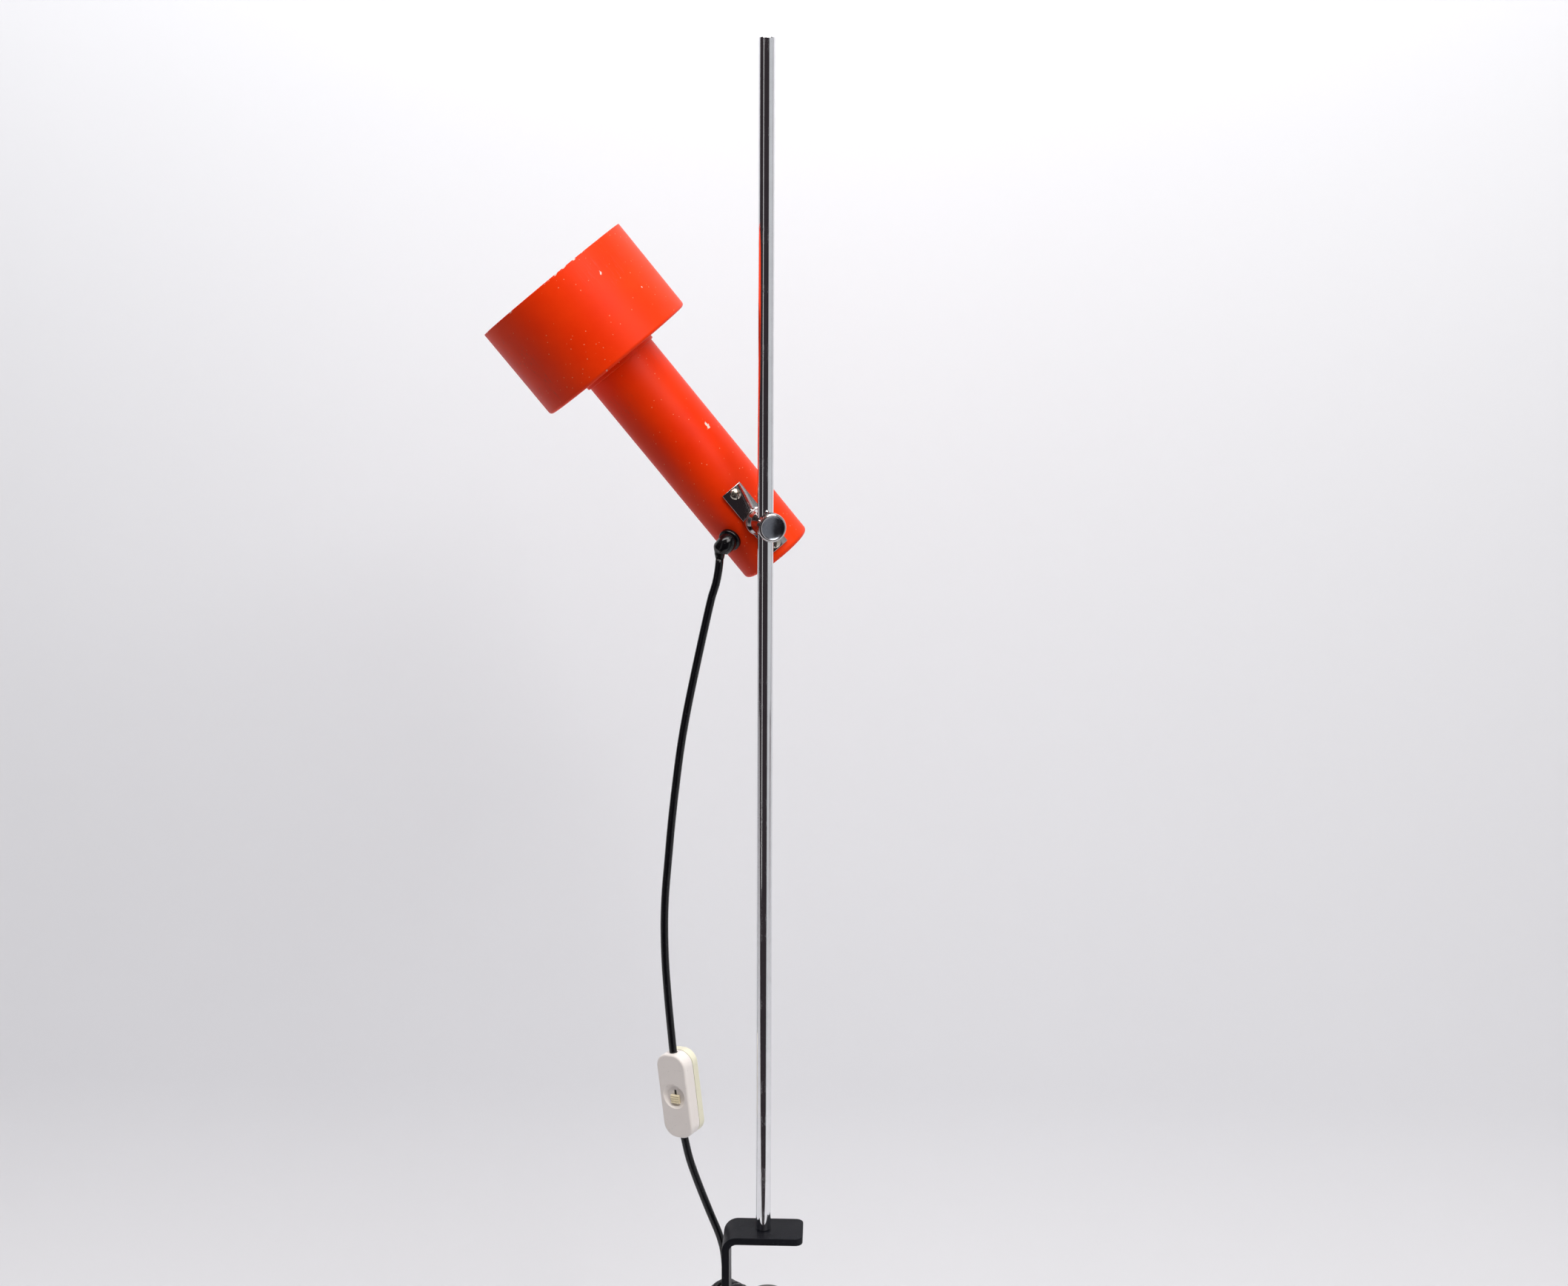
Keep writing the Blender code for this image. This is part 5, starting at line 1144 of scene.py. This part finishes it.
tie_low, tie_high = reach("cord_tie", hank)
tie_wall, tie_middle = 0.0012, (tie_low + tie_high) / 2
tie_x, tie_y = (tie_high.x - tie_low.x) / 2, (tie_high.y - tie_low.y) / 2
strap = pulled(round_box(tie_x, tie_y, 0.002, 6), tie_high.z - tie_low.z)
room = pulled(round_box(tie_x - tie_wall, tie_y - tie_wall, 0.0006, 6), 0.05)
strap = carved(strap, moved(room, (0, 0, -0.01)))
rounded(strap, level_edges(strap), 0.0003, 2)
moved(strap, (tie_middle.x, tie_middle.y, tie_low.z))
strap_black = clouded("matt_black_strap", (0.014, 0.014, 0.015), (0.026, 0.026, 0.028), 0.42, 0.58,
                      150, 0.0001)
finished("cord_strap", strap, hank, "carriage", strap_black, "cord_tie")

plug_low, plug_high = reach("plug_body", hank)
plug_x = tail_x
relief_l, plug_l = 0.022, 0.034
plug_w, neck_w, plug_t = plug_high.y - plug_low.y, 0.020, 0.0137
body_top = plug_top - relief_l
side = [(neck_w / 2, 0, 0.003), (plug_w / 2, -0.45 * plug_l, 0.010), (plug_w / 2, -0.82 * plug_l, 0.006),
        (plug_w / 2 - 0.003, -plug_l, 0.0015)]
plug_outline = filleted(side + [(-x, y, r) for x, y, r in reversed(side)], 6)
plug = pulled(plug_outline, plug_t)
rounded(plug, level_edges(plug), 0.0024, 5)
on_edge = Matrix.Rotation(math.pi / 2, 4, "Z") @ Matrix.Rotation(math.pi / 2, 4, "X")
flat = Matrix.Translation((plug_x - plug_t / 2, 0, body_top)) @ on_edge
bmesh.ops.transform(plug, matrix=flat, verts=plug.verts)
rings = []
for i in range(6):
    top = plug_top - 0.0022 - 0.0031 * i
    r = 0.0033 + 0.0015 * (plug_top - top) / relief_l
    rings += [(r, top + 0.0011), (r + 0.0003, top + 0.0007), (r + 0.0003, top - 0.0007), (r, top - 0.0011)]
relief = spun([(0, plug_top), (0.0031, plug_top), *rings, (0.0050, body_top), (0.0050, body_top - 0.004),
               (0, body_top - 0.004)], 64)
bmesh.ops.translate(relief, verts=relief.verts, vec=(plug_x, 0, 0))
pins = [reach(name, hank) for name in ("plug_pin_1", "plug_pin_2")]
pin_lines = [upright((low.x + high.x) / 2, (low.y + high.y) / 2) for low, high in pins]
plug = carved(plug, *[cylinder(0.0022, body_top - plug_l - 0.004, pins[0][1].z + 0.0003, line, 40)
                      for line in pin_lines])
plug = merged(plug, relief)
plug_piece = finished("plug_flat", plug, hank, "carriage", plastic, "plug_body", 50)
pin_metal = dull_metal("nickelled_pin", (0.74, 0.70, 0.60), 0.22, 150)
for i, ((low, high), line) in enumerate(zip(pins, pin_lines), 1):
    sleeve_end = body_top - plug_l - 0.010
    pin = spun([(0, low.z), (0.0009, low.z + 0.0001), (0.0016, low.z + 0.0007), (0.0020, low.z + 0.0018),
                (0.0020, sleeve_end - 0.0002), (0.0019, sleeve_end), (0.0019, high.z), (0, high.z)][::-1], 48)
    for f in pin.faces:
        f.material_index = int(f.calc_center_median().z > sleeve_end - 0.0001)
    finished(f"plug_pin_{i}_sleeved", pin, hank @ line, "carriage",
                               [pin_metal, strap_black], f"plug_pin_{i}")

# ---------------------------------------------------------------- floor, light and camera
# A pale floor that curves up into a pale wall, seen from the front only, soft light from the right and above,
# and the camera a little above the lamp's middle, looking slightly down.

floor_z, floor_front, wall_y, sweep_r = -0.36, -0.70, 0.50, 0.25


def pale_paper():
    """Matt pale backdrop. It is clear from behind, so that the lamp can be seen past it."""
    made = bpy.data.materials.new("pale_backdrop")
    made.use_nodes = True
    tree = made.node_tree
    shader = tree.nodes["Principled BSDF"]
    shader.inputs["Roughness"].default_value = 0.9
    shader.inputs["Specular IOR Level"].default_value = 0.1
    shader.inputs["Base Color"].default_value = (0.86, 0.87, 0.90, 1)
    behind = add(tree, "ShaderNodeNewGeometry").outputs["Backfacing"]
    clear = add(tree, "ShaderNodeBsdfTransparent").outputs[0]
    both = add(tree, "ShaderNodeMixShader", {0: behind, 1: shader.outputs[0], 2: clear})
    tree.links.new(both.outputs[0], tree.nodes["Material Output"].inputs["Surface"])
    return made


sweep_section = filleted([(floor_front, floor_z), (wall_y, floor_z, sweep_r), (wall_y, 2.4)], 16)
backdrop = bmesh.new()
line = [backdrop.verts.new((-3.0, y, z)) for y, z in sweep_section]
edges = [backdrop.edges.new(pair) for pair in zip(line, line[1:])]
new = bmesh.ops.extrude_edge_only(backdrop, edges=edges)["geom"]
bmesh.ops.translate(backdrop, verts=[v for v in new if isinstance(v, bmesh.types.BMVert)], vec=(6.0, 0, 0))
backdrop_mesh = bpy.data.meshes.new("backdrop")
backdrop.normal_update()
if backdrop.faces[:][0].normal.z < 0:
    bmesh.ops.reverse_faces(backdrop, faces=backdrop.faces)
backdrop.to_mesh(backdrop_mesh)
backdrop.free()
backdrop_mesh.shade_smooth()
backdrop_mesh.materials.append(pale_paper())
backdrop_piece = bpy.data.objects.new("backdrop", backdrop_mesh)
bpy.context.scene.collection.objects.link(backdrop_piece)


def area_light(name, place, look_at, size, power, colour=(1, 1, 1)):
    data = bpy.data.lights.new(name, "AREA")
    data.shape = "RECTANGLE"
    data.size, data.size_y = size
    data.energy = power
    data.color = colour
    light = bpy.data.objects.new(name, data)
    light.location = place
    light.rotation_euler = (Vector(look_at) - Vector(place)).to_track_quat("-Z", "Y").to_euler()
    bpy.context.scene.collection.objects.link(light)


lamp_middle = (0, 0, 0.35)
area_light("key", (0.9, -1.3, 1.9), lamp_middle, (1.3, 1.0), 28, (1.0, 0.985, 0.96))
area_light("strip", (-1.43, -1.69, 0.5), lamp_middle, (0.32, 2.0), 1.3)
area_light("top", (0.2, 0.1, 1.9), lamp_middle, (1.4, 0.8), 4)
area_light("wall wash", (-0.3, -0.5, 1.8), (-0.3, 0.5, 0.75), (1.6, 0.5), 19)

world = bpy.data.worlds.new("studio")
bpy.context.scene.world = world
world.use_nodes = True
sky = world.node_tree
way = add(sky, "ShaderNodeTexCoord").outputs["Generated"]
along = {0: way, 1: (0.559, 0.829, 0.0)}
room = add(sky, "ShaderNodeVectorMath", along, operation="DOT_PRODUCT").outputs["Value"]
walls = mixed(sky, between(sky, room, -0.37, -0.27), (0.035, 0.028, 0.032), (0.62, 0.63, 0.65))
height = add(sky, "ShaderNodeSeparateXYZ", {"Vector": way}).outputs["Z"]
walls = mixed(sky, between(sky, height, 0.25, 0.50), walls, (0.16, 0.13, 0.125))
seen = mixed(sky, add(sky, "ShaderNodeLightPath").outputs["Is Camera Ray"], walls, (0.86, 0.87, 0.90))
sky.links.new(seen, sky.nodes["Background"].inputs["Color"])
sky.nodes["Background"].inputs["Strength"].default_value = 1.0

camera_data = bpy.data.cameras.new("camera")
camera_data.lens = 49.01
camera_data.sensor_width = 36.0
camera_data.clip_end = 30.0
camera = bpy.data.objects.new("camera", camera_data)
bpy.context.scene.collection.objects.link(camera)
look_down, look_aside, roll = math.radians(11.60), math.radians(1.69), math.radians(0.28)
turn = (Matrix.Rotation(look_aside, 4, "Z") @ Matrix.Rotation(math.pi / 2 - look_down, 4, "X")
        @ Matrix.Rotation(roll, 4, "Z"))
camera.matrix_world = Matrix.Translation((0.0372, -1.3280, 0.6802)) @ turn
bpy.context.scene.camera = camera
bpy.context.scene.view_settings.view_transform = "Standard"
